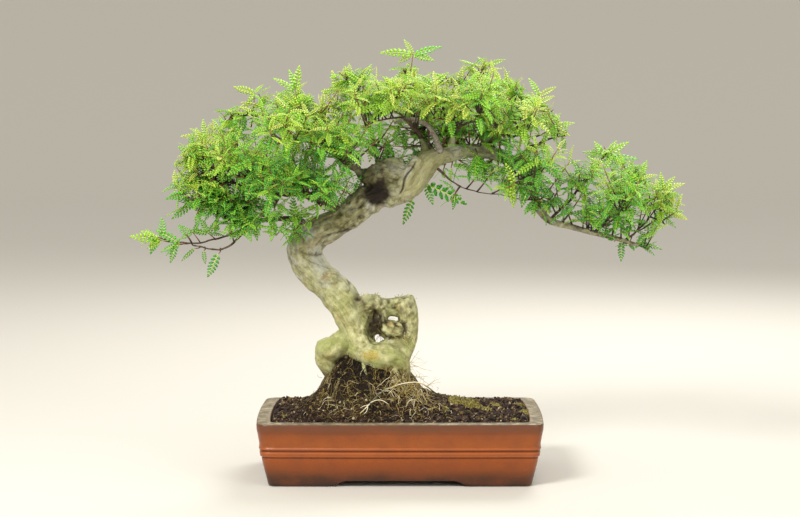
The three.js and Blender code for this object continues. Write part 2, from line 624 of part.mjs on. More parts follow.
// How each leaf leaves its twig. Leaf 0 grows out of the end of the twig. The others each grow out
// of a face of their own stretch, and turn that many degrees from the twig's heading.
const leafFeet = [
  { turn: 0, foot: (near, far) => far },
  { turn: -78, face: 1, foot: (near, far) => [far[1], near[1], near[2], far[2]] },
  { turn: 78, face: 3, foot: (near, far) => [near[0], far[0], far[3], near[3]] },
  { turn: 180, face: 0, foot: (near, far) => [far[1], far[0], near[0], near[1]] },
];

// Twig of a spray as rings of corners, and which stretch of it each leaf grows from
function startTwig(stations) {
  const mesh = { corners: [], triangles: [] };
  const rings = stations.map((station, i) => {
    const half = twigRadius * (1 - (0.45 * i) / (stations.length - 1));
    return cornersAt(station, half, half).map((corner) => mesh.corners.push(corner) - 1);
  });
  const footOf = (leaf) => {
    const far = Math.min(stations.length - leaf, stations.length - 1);
    return leafFeet[leaf].foot(rings[far - 1], rings[far]);
  };
  return { mesh, rings, footOf };
}

function twigOnly(stations) {
  const { mesh, rings } = startTwig(stations);
  return loft(rings.map((ring) => ring.map((corner) => mesh.corners[corner])));
}

// The whole spray as one mesh: faces of the twig that carry a leaf are left open and the leaf's
// stalk starts from their corners
function spraySolid(stations, leaves) {
  const { mesh, rings, footOf } = startTwig(stations);
  const { triangles } = mesh;
  const [base] = rings;
  triangles.push([base[0], base[2], base[1]], [base[0], base[3], base[2]]);
  for (let stretch = 0; stretch < rings.length - 1; stretch += 1) {
    const leaf = rings.length - 1 - stretch;
    const taken = leaves[leaf] ? leafFeet[leaf].face : undefined;
    twigFaces.forEach(([a, b], face) => {
      if (face !== taken) {
        const [near, far] = [rings[stretch], rings[stretch + 1]];
        triangles.push([near[a], near[b], far[b]], [near[a], far[b], far[a]]);
      }
    });
  }
  if (!leaves[0]) {
    const end = rings.at(-1);
    triangles.push([end[0], end[1], end[2]], [end[0], end[2], end[3]]);
  }
  leaves.forEach((leaf, i) => {
    if (leaf) {
      addLeaf(mesh, footOf(i), leaf, 0);
    }
  });
  return solidFrom(mesh.corners, triangles);
}

function largestPiece(solid) {
  return solid.decompose().reduce((best, piece) => (piece.volume() > best.volume() ? piece : best));
}

const boxed = (solid) => ({ solid, box: solid.boundingBox() });

function overlap(one, other) {
  const apart = [0, 1, 2].some((axis) => (
    one.box.min[axis] > other.box.max[axis] || other.box.min[axis] > one.box.max[axis]));
  return !apart && !one.solid.intersect(other.solid).isEmpty();
}

// Places for leaf number i of a spray, swung away from its usual heading until it is clear of
// everything near it
function clearLeaf(spray, stations, i, near) {
  const { mesh, footOf } = startTwig(stations);
  const base = footOf(i).reduce((sum, corner) => sum.add(mesh.corners[corner]), new THREE.Vector3())
    .divideScalar(4);
  const twigHeading = stations[Math.min(stations.length - i, stations.length - 1)].heading;
  const usual = i === 0
    ? { heading: spray.heading, pitch: spray.pitch }
    : { heading: twigHeading + leafFeet[i].turn, pitch: i === 3 ? topLeafPitch : sideLeafPitch };
  for (const lift of [0, 16, -16, 30]) {
    for (const swing of [0, 14, -14, 28, -28, 42, -42]) {
      const places = leafStations(base, usual.heading + swing, usual.pitch + lift);
      const leaf = boxed(looseLeaf(places, seatGap));
      if (!near.some((other) => overlap(leaf, other))) {
        return places;
      }
    }
  }
  return null;
}

function spraySolids(woodWithGap) {
  const growing = Object.entries(sprays).map(([name, spray]) => {
    const stations = twigStations(spray);
    const twig = boxed(largestPiece(twigOnly(stations).subtract(woodWithGap)));
    return { name, spray, stations, leaves: [], solids: [twig] };
  });
  const wood = boxed(woodWithGap);
  for (let i = 0; i < leafFeet.length; i += 1) {
    for (const sprig of growing.filter(({ spray }) => i < spray.leaves)) {
      const near = [wood, ...growing.flatMap(({ solids }) => solids)];
      const places = clearLeaf(sprig.spray, sprig.stations, i, near);
      sprig.leaves.push(places);
      if (places) {
        sprig.solids.push(boxed(looseLeaf(places, 0)));
      }
    }
  }
  return growing.map(({ name, stations, leaves }) => (
    [name, largestPiece(spraySolid(stations, leaves).subtract(woodWithGap))]));
}

// Assembly

const bonsai = new THREE.Group();
const wood = hollows.reduce((solid, hollow) => solid.subtract(hollowSolid(hollow)), woodSolid(0));
const woodWithGap = woodSolid(seatGap);
const screenPockets = [-drainHoleX, drainHoleX].map((x) => (
  boxSolid(screenSide + 2 * seatGap, screenSide + 2 * seatGap, 2 * screenThickness + 2 * seatGap,
    x, 0, floorTop + seatGap)));
const soil = screenPockets.reduce((solid, pocket) => solid.subtract(pocket), soilSolid())
  .subtract(woodWithGap);

bonsai.add(meshOf('pot', potSolid(), glaze));
bonsai.add(meshOf('drainage_screen_left', screenSolid(-drainHoleX), meshPlastic));
bonsai.add(meshOf('drainage_screen_right', screenSolid(drainHoleX), meshPlastic));
bonsai.add(meshOf('soil', soil, peat));
bonsai.add(meshOf('tree', wood, bark));
for (const [name, solid] of spraySolids(woodWithGap)) {
  const height = sprays[name].at[2];
  const green = height > 400 ? youngLeaf : height > 320 ? grownLeaf : shadeLeaf;
  bonsai.add(meshOf(`spray_${name}`, solid, green));
}

const box = new THREE.Box3().setFromObject(bonsai);
const middle = box.getCenter(new THREE.Vector3());
bonsai.position.set(-middle.x, -middle.y, -box.min.z);

export default bonsai;
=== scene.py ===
# Japanese pepper bonsai in its oblong glazed pot, dressed over the measured frame.
# Shapes are worked out in millimetres about the middle of the pot, on the ground, and one
# function turns them into the frame's metres.

import math
import bpy
import numpy as np
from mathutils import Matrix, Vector


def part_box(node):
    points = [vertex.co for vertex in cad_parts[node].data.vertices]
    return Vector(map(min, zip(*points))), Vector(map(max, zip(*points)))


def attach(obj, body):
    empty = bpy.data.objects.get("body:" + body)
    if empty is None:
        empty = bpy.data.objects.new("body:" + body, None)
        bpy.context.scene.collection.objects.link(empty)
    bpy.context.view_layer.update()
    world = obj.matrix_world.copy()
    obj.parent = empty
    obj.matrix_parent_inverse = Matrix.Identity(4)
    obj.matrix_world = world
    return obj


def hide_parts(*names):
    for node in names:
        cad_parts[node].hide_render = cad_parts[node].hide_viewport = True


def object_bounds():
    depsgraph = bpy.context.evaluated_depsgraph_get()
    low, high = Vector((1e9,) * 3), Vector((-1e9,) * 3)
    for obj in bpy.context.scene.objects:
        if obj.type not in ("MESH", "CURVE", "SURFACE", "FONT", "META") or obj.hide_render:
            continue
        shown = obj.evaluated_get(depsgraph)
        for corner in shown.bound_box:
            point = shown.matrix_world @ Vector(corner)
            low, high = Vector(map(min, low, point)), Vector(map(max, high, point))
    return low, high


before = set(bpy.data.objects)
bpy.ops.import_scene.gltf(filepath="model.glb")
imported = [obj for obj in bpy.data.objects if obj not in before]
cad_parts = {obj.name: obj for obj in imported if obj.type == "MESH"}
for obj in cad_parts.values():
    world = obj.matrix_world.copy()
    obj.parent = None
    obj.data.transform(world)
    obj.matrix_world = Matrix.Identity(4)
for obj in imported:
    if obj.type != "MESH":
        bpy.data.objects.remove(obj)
cadBox = [list(corner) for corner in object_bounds()]
potLow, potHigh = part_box("pot")
shift = np.array([(potLow.x + potHigh.x) * 500, (potLow.y + potHigh.y) * 500, 0.0])  # mm


# Shared helpers

def linearColour(hexCode):
    # each channel goes from its sRGB curve to linear light
    values = np.array([int(hexCode[i:i + 2], 16) / 255 for i in (0, 2, 4)])
    linear = np.where(values <= 0.04045, values / 12.92, ((values + 0.055) / 1.055) ** 2.4)
    return (*linear.tolist(), 1.0)


def toFrame(points):
    return (np.asarray(points, float) + shift) / 1000


def addNode(tree, kind, inputs=None, out=0, stops=(), **settings):
    # settings are the node's own values. Each input, by name or number, is another node's output
    # or a constant, and a colour is a hex code. Stops are a colour ramp's places, each with a hex
    # code or a grey value. One output comes back, by its name or number.
    node = tree.nodes.new("ShaderNode" + kind)
    for key, value in settings.items():
        setattr(node, key, value)
    for key, value in (inputs or {}).items():
        if isinstance(value, bpy.types.NodeSocket):
            tree.links.new(value, node.inputs[key])
        else:
            value = linearColour(value) if isinstance(value, str) else value
            node.inputs[key].default_value = value
    elements = node.color_ramp.elements if stops else []
    while len(elements) < len(stops):
        elements.new(1.0)
    for element, (place, value) in zip(elements, stops):
        element.position = place
        element.color = linearColour(value) if isinstance(value, str) else (value,) * 3 + (1,)
    return node.outputs[out]


def newMaterial(name, finish, patterns=()):
    # finish holds constant values, which go straight on the shader's own sockets. Patterns are
    # noises over the piece's own place in millimetres: their size, detail, roughness, distortion.
    material = bpy.data.materials.new(name)
    material.use_nodes = True
    tree = material.node_tree
    for key, value in finish.items():
        tree.nodes["Principled BSDF"].inputs[key].default_value = value
    own = addNode(tree, "TexCoord", out="Object")
    place = addNode(tree, "Mapping", {"Vector": own, "Scale": (1000, 1000, 1000)})
    noises = [addNode(tree, "TexNoise", {"Vector": place, "Scale": 1 / size, **dict(
        zip(("Detail", "Roughness", "Distortion"), rest))}) for size, *rest in patterns]
    return material, tree, place, *noises


def layOver(tree, colour, layers):
    # each layer over the last: where it lies, how strongly, and its colour
    for mask, strength, over in layers:
        cover = addNode(tree, "Math", {0: mask, 1: strength}, operation="MULTIPLY")
        colour = addNode(tree, "Mix", {0: cover, 6: colour, 7: over}, 2, data_type="RGBA")
    return colour


def linkFinish(material, colour, reliefs, gloss=None):
    # what varies over the surface goes to the shader. Each relief is a height and how many mm of
    # it the light feels; the first is the lowest, and the others lie over it.
    tree, normal = material.node_tree, {}
    for height, depth in reliefs:
        normal["Normal"] = addNode(tree, "Bump", {"Height": height, "Distance": depth / 1000,
                                                  **normal})
    sources = {"Base Color": colour, "Roughness": gloss, **normal}
    for key, source in sources.items():
        if source:
            tree.links.new(source, tree.nodes["Principled BSDF"].inputs[key])
    return material


def readMasks(tree, name="masks"):
    # the four values, from 0 to 1, that a piece stores at each of its points
    stored = addNode(tree, "Attribute", attribute_name=name)
    split = addNode(tree, "SeparateColor", {"Color": stored}).node
    return [*split.outputs[:3], stored.node.outputs["Alpha"]]


def meshPiece(name, points, faceSets, material, nodes=(), masks=None, smooth=True):
    # points in mm; faceSets are arrays of triangles or of quads; masks holds 4 values a point
    mesh = bpy.data.meshes.new(name)
    places = toFrame(points).astype(np.float32).ravel()
    mesh.vertices.add(len(places) // 3)
    mesh.vertices.foreach_set("co", places)
    corners = np.concatenate([faces.ravel() for faces in faceSets]).astype(np.int32)
    sizes = np.concatenate([np.full(len(faces), faces.shape[1]) for faces in faceSets])
    starts = np.concatenate([[0], np.cumsum(sizes)[:-1]]).astype(np.int32)
    mesh.loops.add(len(corners))
    mesh.loops.foreach_set("vertex_index", corners)
    mesh.polygons.add(len(sizes))
    mesh.polygons.foreach_set("loop_start", starts)
    mesh.update(calc_edges=True)
    mesh.validate()
    if smooth:
        mesh.shade_smooth()
    if masks is not None:
        storeMasks(mesh, masks)
    mesh.materials.append(material)
    piece = bpy.data.objects.new(name, mesh)
    bpy.context.scene.collection.objects.link(piece)
    if nodes:
        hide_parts(*nodes)
    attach(piece, "root")
    return piece


def storeMasks(mesh, masks, name="masks"):
    layer = mesh.attributes.new(name, "FLOAT_COLOR", "POINT")
    layer.data.foreach_set("color", np.asarray(masks, np.float32).ravel())


def gridQuads(rows, columns, closed=True):
    # quads between neighbouring rows of points; closed joins the last column to the first
    here = np.arange(columns if closed else columns - 1)
    there = (here + 1) % columns
    row = np.arange(rows - 1)[:, None] * columns
    return np.stack([row + here, row + there, row + there + columns, row + here + columns],
                    axis=-1).reshape(-1, 4)


def repeatFaces(faces, count, each):
    # the faces of one shape for count copies of it, each with as many points
    return (np.arange(count)[:, None, None] * each + faces).reshape(-1, faces.shape[1])


def fan(centre, ring, toNext=True):
    # triangles from one point to a ring of points
    following = np.roll(ring, -1)
    first, second = (ring, following) if toNext else (following, ring)
    return np.stack([np.full(len(ring), centre), first, second], axis=1)


def latticeNoise(points, seed=0):
    # gradient noise from about -1 to 1: a random slope at each corner of a unit cell, blended
    # smoothly inside it; the points are turned first, so that the cells follow no axis
    tilt = np.array([[0.36, 0.48, -0.8], [-0.8, 0.6, 0.0], [0.48, 0.64, 0.6]])
    points = points @ tilt.T + 0.37 * seed
    cell = np.floor(points).astype(np.int64)
    part = points - cell
    blend = part ** 3 * (part * (part * 6 - 15) + 10)
    total = np.zeros(len(points))
    for corner in np.ndindex(2, 2, 2):
        at = cell + corner
        mixed = (at[:, 0] * 374761393 + at[:, 1] * 668265263 + at[:, 2] * 974634777
                 + seed * 1442695041) & 0xffffffff
        mixed = ((mixed ^ (mixed >> 13)) * 1274126177) & 0xffffffff
        mixed ^= mixed >> 16
        slope = np.stack([(mixed >> place) & 1023 for place in (0, 10, 20)], 1) / 511.5 - 1
        weight = np.prod(np.where(corner, blend, 1 - blend), axis=1)
        total += weight * np.sum(slope * (part - corner), axis=1)
    return total * 1.5


def roughNoise(points, seed=0, octaves=3):
    # each octave is twice as fine and half as strong
    return sum(latticeNoise(points * 2 ** i, seed + i) / 2 ** i for i in range(octaves))


def smoothStep(value, low, high):
    share = np.clip((value - low) / (high - low), 0, 1)
    return share * share * (3 - 2 * share)


def unit(vectors):
    return vectors / np.maximum(np.linalg.norm(vectors, axis=-1, keepdims=True), 1e-9)


def roundTurn(steps):
    return np.arange(steps) * 2 * math.pi / steps


def smoothPath(points, spacing):
    # centripetal Catmull-Rom curve through x, y, z, radius rows, one station every spacing mm
    rows = np.asarray(points, float)
    rows = np.vstack([2 * rows[0] - rows[1], rows, 2 * rows[-1] - rows[-2]])
    rows[:, 3] = np.maximum(rows[:, 3], 0.3)
    stations = []
    for p0, p1, p2, p3 in zip(rows, rows[1:], rows[2:], rows[3:]):
        t0, t1, t2 = (math.sqrt(max(np.linalg.norm(b[:3] - a[:3]), 1e-3))
                      for a, b in ((p0, p1), (p1, p2), (p2, p3)))
        m1 = ((p1 - p0) / t0 - (p2 - p0) / (t0 + t1) + (p2 - p1) / t1) * t1
        m2 = ((p2 - p1) / t1 - (p3 - p1) / (t1 + t2) + (p3 - p2) / t2) * t1
        m1[3] = m2[3] = p2[3] - p1[3]
        count = max(1, round(np.linalg.norm(p2[:3] - p1[:3]) / spacing))
        u = (np.arange(count) / count)[:, None]
        stations.append((2 * u ** 3 - 3 * u ** 2 + 1) * p1 + (u ** 3 - 2 * u ** 2 + u) * m1
                        + (3 * u ** 2 - 2 * u ** 3) * p2 + (u ** 3 - u ** 2) * m2)
    return np.vstack([*stations, rows[-2]])


def tubes(paths, radii, sides):
    # closed tubes, all with the same number of stations: paths is tubes x stations x 3 and
    # radii is tubes x stations. Rings are carried along each path without twisting.
    count, stations = radii.shape
    along = unit(np.gradient(paths, axis=1))
    across = np.where(np.abs(along[:, 0, 1:2]) < 0.8, np.array([0, 1.0, 0]), np.array([1.0, 0, 0]))
    side = np.empty_like(paths)
    for station in range(stations):
        heading = along[:, station]
        across = unit(across - np.sum(across * heading, axis=1, keepdims=True) * heading)
        side[:, station] = across
    up = np.cross(along, side)
    turn = roundTurn(sides)[:, None]
    ring = side[:, :, None] * np.cos(turn) + up[:, :, None] * np.sin(turn)
    skin = (paths[:, :, None] + ring * radii[:, :, None, None]).reshape(count, -1, 3)
    points = np.concatenate([skin, paths[:, :1], paths[:, -1:]], axis=1)
    foot = stations * sides
    here = np.arange(sides)
    caps = np.concatenate([fan(foot, here, False), fan(foot + 1, here + foot - sides)])
    return (points.reshape(-1, 3), repeatFaces(gridQuads(stations, sides), count, foot + 2),
            repeatFaces(caps, count, foot + 2), foot + 2)


def joinParts(parts):
    # parts are (points, quads, triangles, ...); one set of arrays comes back
    points, quads, triangles, start = [], [], [], 0
    for part in parts:
        points.append(part[0])
        quads.append(part[1] + start)
        triangles.append(part[2] + start)
        start += len(part[0])
    return np.concatenate(points), np.concatenate(quads), np.concatenate(triangles)


# Camera, light and backdrop

portrait = {
    "place": (0, -2249.2, 447.7),  # mm from the middle of the pot
    "pitchDown": 5.446,  # degrees
    "lens": 94.5, "sensor": 36,  # mm
    "paper": "cfcabf", "level": 4200, "rim": 7600, "rimBend": 3400,  # mm
    "sky": "f6f4ef", "skyStrength": 0.8,
    "aim": (0, 0, 230),  # what the softboxes point at; their place and size are in mm
    "key": {"place": (-900, -1400, 1500), "size": 700, "watts": 44},
    "fill": {"place": (1400, -1500, 700), "size": 1200, "watts": 14},
    "back": {"place": (500, 1300, 1300), "size": 900, "watts": 20},
}


def addToScene(name, data):
    holder = bpy.data.objects.new(name, data)
    bpy.context.scene.collection.objects.link(holder)
    return holder


def makeCamera():
    camera = addToScene("portraitCamera", bpy.data.cameras.new("portraitCamera"))
    camera.data.lens = portrait["lens"]
    camera.data.sensor_width = portrait["sensor"]
    camera.location = toFrame(portrait["place"])
    camera.rotation_euler = (math.radians(90 - portrait["pitchDown"]), 0, 0)
    bpy.context.scene.camera = camera


def makeLights():
    world = bpy.data.worlds.new("softSky")
    world.use_nodes = True
    sky = world.node_tree.nodes["Background"]
    sky.inputs["Color"].default_value = linearColour(portrait["sky"])
    sky.inputs["Strength"].default_value = portrait["skyStrength"]
    bpy.context.scene.world = world
    bpy.context.scene.view_settings.view_transform = "Standard"  # keeps the greens clear
    for name in ("key", "fill", "back"):
        lamp = portrait[name]
        light = bpy.data.lights.new(name + "Softbox", "AREA")
        light.shape = "DISK"
        light.size = lamp["size"] / 1000
        light.energy = lamp["watts"]
        holder = addToScene(name + "Softbox", light)
        holder.location = toFrame(lamp["place"])
        way = Vector(toFrame(portrait["aim"])) - holder.location
        holder.rotation_euler = way.to_track_quat("-Z", "Y").to_euler()


def makeBackdrop():
    # a round sheet of paper: level ground whose rim curves up far outside every view's camera, by
    # (distance past the level part)^2 / (2 rimBend), so that no horizon shows
    paper = linearColour(portrait["paper"])
    material = newMaterial("matteBackdropPaper", {"Roughness": 0.9, "Base Color": paper})[0]
    radius = np.concatenate([[600, 2000], np.linspace(portrait["level"], portrait["rim"], 18)])
    height = np.maximum(radius - portrait["level"], 0) ** 2 / (2 * portrait["rimBend"])
    spokes = 72
    turn = roundTurn(spokes)
    points = np.stack([radius[:, None] * np.cos(turn), radius[:, None] * np.sin(turn),
                       np.repeat(height[:, None], spokes, 1)], axis=-1).reshape(-1, 3)
    quads = gridQuads(len(radius), spokes)[:, [0, 3, 2, 1]]
    mesh = bpy.data.meshes.new("backdropPaper")
    mesh.from_pydata(toFrame(points).tolist(), [], [list(range(spokes)), *quads.tolist()])
    mesh.shade_smooth()
    mesh.materials.append(material)
    addToScene("backdropPaper", mesh)


makeCamera()
makeLights()
makeBackdrop()
print("stage: camera, light and backdrop")


# Pot

pot = {
    "length": 305.5, "depth": 182, "height": 68, "corner": 12, "longBow": 1.5, "shortBow": 2.3,
    "rim": 14, "floor": 14, "draft": 7, "foot": 6, "longArch": 69, "shortArch": 40, "slant": 7,
    "footWall": 22, "drainRadius": 10, "drainX": 75, "drainSides": 48,
    # height and how far the wall stands in from the rim: foot, wall, groove, beads, wall, lip
    "wall": [
        (0.6, 12.2), (1.4, 11.7), (14, 8.6), (22, 6.9), (30.6, 5.0), (31.2, 5.7), (32, 5.7),
        (32.6, 4.2), (33.4, 3.6), (37, 3.1), (37.8, 3.4), (38.4, 4.5), (39.3, 4.5), (40, 3.1),
        (40.8, 2.5), (41.8, 2.4), (42.6, 2.9), (43.3, 3.3), (50, 2.3), (58, 0.9), (59.8, 0.45),
        (61.5, 0.2), (66, 0), (67.2, 0.4), (67.8, 1.2)
    ],
    "grooves": (31.6, 38.9), "beads": (41.2, 33.6, 36.8),
}


def potOutline(inset, corner, sideSteps=28, cornerSteps=10):
    # four quarter circles with a shallow parabola between each two
    halfX, halfY = pot["length"] / 2 - inset, pot["depth"] / 2 - inset
    x, y = halfX - pot["shortBow"] - corner, halfY - pot["longBow"] - corner
    walk = np.linspace(-1, 1, sideSteps + 2)[1:-1]
    farX, farY = halfX - pot["shortBow"] * walk ** 2, halfY - pot["longBow"] * walk ** 2
    sides = [(farX, walk * y), (-walk * x, farY), (-farX, -walk * y), (walk * x, -farY)]
    loop = []
    for i, (side, (cx, cy)) in enumerate(zip(sides, ((x, y), (-x, y), (-x, -y), (x, -y)))):
        angle = np.linspace(0, math.pi / 2, cornerSteps) + i * math.pi / 2
        loop.append(np.stack(side, 1))
        loop.append(np.stack([cx + corner * np.cos(angle), cy + corner * np.sin(angle)], 1))
    return np.concatenate(loop)


def archHeight(x, y):
    # full height in the middle of each side, falling to 0 along a slant that ends at the feet
    share = np.maximum(pot["longArch"] - np.abs(x), pot["shortArch"] - np.abs(y)) / pot["slant"]
    return pot["foot"] * np.clip(share, 0, 1) ** 0.8


def makePot(material):
    # one surface: rings of the outline from the middle of the underside, out over the feet, up
    # the wall, over the rim and down to the middle of the inside floor. Each row is how far it
    # stands in from the rim, its height, or "arch" where it follows the arches, and its corner.
    rim, floor, foot, top = pot["rim"], pot["floor"], pot["foot"], pot["height"]
    heights, insets = np.array(pot["wall"]).T
    fine = [np.linspace(a, b, 5)[:-1] for a, b in zip(heights, heights[1:])]
    fine = np.append(np.concatenate(fine), heights[-1])
    inset = np.interp(fine, heights, insets)
    for _ in range(2):
        inset[1:-1] = (inset[:-2] + 2 * inset[1:-1] + inset[2:]) / 4
    inner, deep = insets[0] + pot["footWall"], rim + pot["draft"]
    under = [(70, foot, 4), (inner + 3, foot, 6), (inner, foot, 6), (inner, "archEdge", 6),
             (inner - 1, "arch", 6), (24, "arch", 8), (insets[0] + 1.6, "arch", 8.5)]
    wall = [(i, z, pot["corner"] - i * 0.3) for z, i in zip(fine, inset)]
    inside = [(2, top, 11.5), (5, top, 10.5), (10, top, 9.5), (rim - 1.2, top, 8.8),
              (rim - 0.3, top - 0.3, 8.6), (rim, top - 1, 8.5), (rim + 0.8, 62, 8.3),
              (rim + pot["draft"] * 0.5, 42, 8), (deep, floor + 4, 7), (deep + 1, floor + 1, 6),
              (deep + 4, floor, 5), (70, floor, 4)]
    rings, masks = [], []
    for number, (stand, z, corner) in enumerate([*under, *wall, *inside]):
        outline = potOutline(stand, corner)
        arch = archHeight(outline[:, 0], outline[:, 1])
        bloom = groove = paintedRimHighlight = bead = 0.0
        if z == "archEdge":
            height = np.minimum(arch + 0.8, foot)
        elif z == "arch":
            height = arch
        elif z < foot + 1:
            height = np.maximum(z, arch + 0.5 * (z < foot))
        else:
            height = np.full(len(arch), z)
        if number >= len(under):
            bloom = float(stand > 1.0 and z >= top - 0.7)
            if number < len(under) + len(wall):
                groove = max(math.exp(-((z - at) / 0.75) ** 2) for at in pot["grooves"])
                bead = max(math.exp(-((z - at) / 0.8) ** 2) for at in pot["beads"])
            else:
                # the rounded inner edge of the rim gets a painted highlight
                paintedRimHighlight = float(rim - 1.3 < stand < rim + 0.2)
        rings.append(np.column_stack([outline, height]))
        masks.append([bloom, groove, paintedRimHighlight, bead])
    count = len(rings[0])
    centres = [[0, 0, foot], [0, 0, floor]]
    last = len(rings) * count
    ring = np.arange(count)
    caps = np.concatenate([fan(last, ring, False), fan(last + 1, ring + last - count)])
    masks = np.concatenate([np.repeat(masks, count, axis=0), np.zeros((2, 4))])
    piece = meshPiece("glazedPot", np.concatenate([*rings, centres]),
                      [gridQuads(len(rings), count), caps], material, ["pot"], masks)
    for x in (-pot["drainX"], pot["drainX"]):
        cutDrainHole(piece, x)


def cutDrainHole(piece, x):
    sides, radius = pot["drainSides"], pot["drainRadius"]
    turn = roundTurn(sides)
    ring = np.column_stack([x + radius * np.cos(turn), radius * np.sin(turn)])
    points = np.concatenate([np.column_stack([ring, np.full(sides, z)]) for z in (0, 30)])
    ends = [list(range(sides))[::-1], list(range(sides, 2 * sides))]
    mesh = bpy.data.meshes.new("drainPlug")
    mesh.from_pydata(toFrame(points).tolist(), [], gridQuads(2, sides).tolist() + ends)
    plug = addToScene("drainPlug", mesh)
    cut = piece.modifiers.new("drainHole", "BOOLEAN")
    cut.operation = "DIFFERENCE"
    cut.object = plug
    bakeModifiers(piece)
    bpy.data.objects.remove(plug)


def bakeModifiers(piece):
    graph = bpy.context.evaluated_depsgraph_get()
    done = bpy.data.meshes.new_from_object(piece.evaluated_get(graph), depsgraph=graph,
                                           preserve_all_data_layers=True)
    piece.modifiers.clear()
    old, piece.data = piece.data, done
    bpy.data.meshes.remove(old)


def glazedEarthenware():
    # iron-red glaze on cast earthenware: orange where it is thick, pooled and dark in the grooves,
    # darker brown under the lip and towards the foot, with a dry lime bloom on top of the rim and a
    # painted highlight along the rim's inner edge
    material, tree, place, drift, cloud, speck, crust, haze, peel, swell = newMaterial(
        "ironRedGlaze", {"Roughness": 0.36, "IOR": 1.5, "Coat Weight": 0.12, "Coat Roughness": 0.16,
                         "Specular IOR Level": 0.32},
        [(50, 3, 0.55), (24, 5, 0.6), (1.2, 2, 0.55), (10, 6, 0.68), (6, 4, 0.55), (3.2, 3, 0.55),
         (14, 2, 0.55)])
    bloom, groove, paintedRimHighlight, bead = readMasks(tree)
    level = addNode(tree, "SeparateXYZ", {"Vector": place}, "Z")
    # the height of the bands wanders 4.5 mm either way: (z + 9 (drift - 0.5)) / 68
    wander = addNode(tree, "Math", {0: drift, 1: 9.0, 2: -4.5}, operation="MULTIPLY_ADD")
    height = addNode(tree, "Math", {0: level, 1: wander}, operation="ADD")
    share = addNode(tree, "Math", {0: height, 1: pot["height"]}, operation="DIVIDE")
    body = addNode(tree, "ValToRGB", {0: share}, stops=[
        (0.02, "382114"), (0.14, "4a2a18"), (0.27, "7b3e18"), (0.42, "8d4515"), (0.7, "8d4816"),
        (0.82, "834218"), (0.91, "64391f"), (1.0, "583624")])
    cloudy = addNode(tree, "ValToRGB", {0: cloud}, stops=[(0.4, 0.0), (0.75, 0.6)])
    speckled = addNode(tree, "ValToRGB", {0: speck}, stops=[(0.66, 0.0), (0.74, 0.3)])
    lime = addNode(tree, "ValToRGB", {0: crust}, stops=[(0.32, "51493a"), (0.5, "7a6e55"),
                                                        (0.7, "aca084")])
    # the last layer is the painted highlight on the rim's inner edge
    colour = layOver(tree, body, [
        (cloudy, 1.0, "6f371c"), (groove, 0.5, "4a210e"), (bead, 0.4, "b5663a"),
        (speckled, 1.0, "3b2015"), (bloom, 0.94, lime), (paintedRimHighlight, 0.2, "b9a68c")])
    dull = addNode(tree, "MapRange", {"Value": bloom, "To Min": 0.27, "To Max": 0.75})
    gloss = addNode(tree, "Math", {0: haze, 1: 0.12, 2: dull}, operation="MULTIPLY_ADD")
    orangePeel = addNode(tree, "Math", {0: swell, 1: 2.0, 2: peel}, operation="MULTIPLY_ADD")
    return linkFinish(material, colour, [(orangePeel, 0.2)], gloss)


makePot(glazedEarthenware())
print("pot: glazed wall, rim and feet")


# Soil, its crumbs, roots and moss, and the netting under it

soil = {
    "level": 67, "slope": 3.2, "edgeDip": 1.8, "wallGap": 1.5, "cornerRadius": 8.0,
    "mound": {"x": -22, "y": 0, "height": 30, "length": 82, "depth": 52},
    "pad": {"x": -37, "y": 0, "height": 34, "length": 45, "depth": 38},
    "mat": {"x": -44, "y": 0, "height": 5.5, "length": 36, "depth": 30},
    "columns": 224, "rows": 128, "under": 14.4, "crumbs": 4600, "seed": 11,
}
potInside = np.array([pot["length"] / 2 - pot["rim"], pot["depth"] / 2 - pot["rim"]])  # half, mm


def hill(x, y, shape, powerX, powerY):
    # 1 at its middle, falling to 0 as exp(-(x / length)^powerX - (y / depth)^powerY)
    return np.exp(-np.abs((x - shape["x"]) / shape["length"]) ** powerX
                  - np.abs((y - shape["y"]) / shape["depth"]) ** powerY)


def soilHeight(x, y):
    # level ground that climbs from front to back, with a broad mound, a steep pad of roots on
    # it, and a slight dip at the wall
    wall = np.minimum(np.maximum(np.abs(x) / potInside[0], np.abs(y) / potInside[1]), 1)
    level = soil["level"] + soil["slope"] * y / potInside[1] - soil["edgeDip"] * wall ** 12
    high = (soil["mound"]["height"] * hill(x, y, soil["mound"], 2, 2)
            + soil["pad"]["height"] * hill(x, y, soil["pad"], 3.4, 4))
    return level + high * (1 - wall ** 6)


def groundHeight(x, y):
    # the soil with the mat of dry roots on the pad
    return soilHeight(x, y) + soil["mat"]["height"] * hill(x, y, soil["mat"], 6, 4)


def soilRough(x, y):
    # clods about 9 mm across, crumbs of 3.5 mm and grit of 1.4 mm, less high near the wall
    flat = np.stack([x, y, np.zeros_like(x)], -1)
    lumps = (1.5 * latticeNoise(flat / 9, 1) + 1.1 * latticeNoise(flat / 3.5, 2)
             + 0.55 * latticeNoise(flat / 1.4, 3))
    fromWall = np.minimum(potInside[0] - np.abs(x), potInside[1] - np.abs(y))
    return lumps * np.clip(fromWall / 8, 0.25, 1)


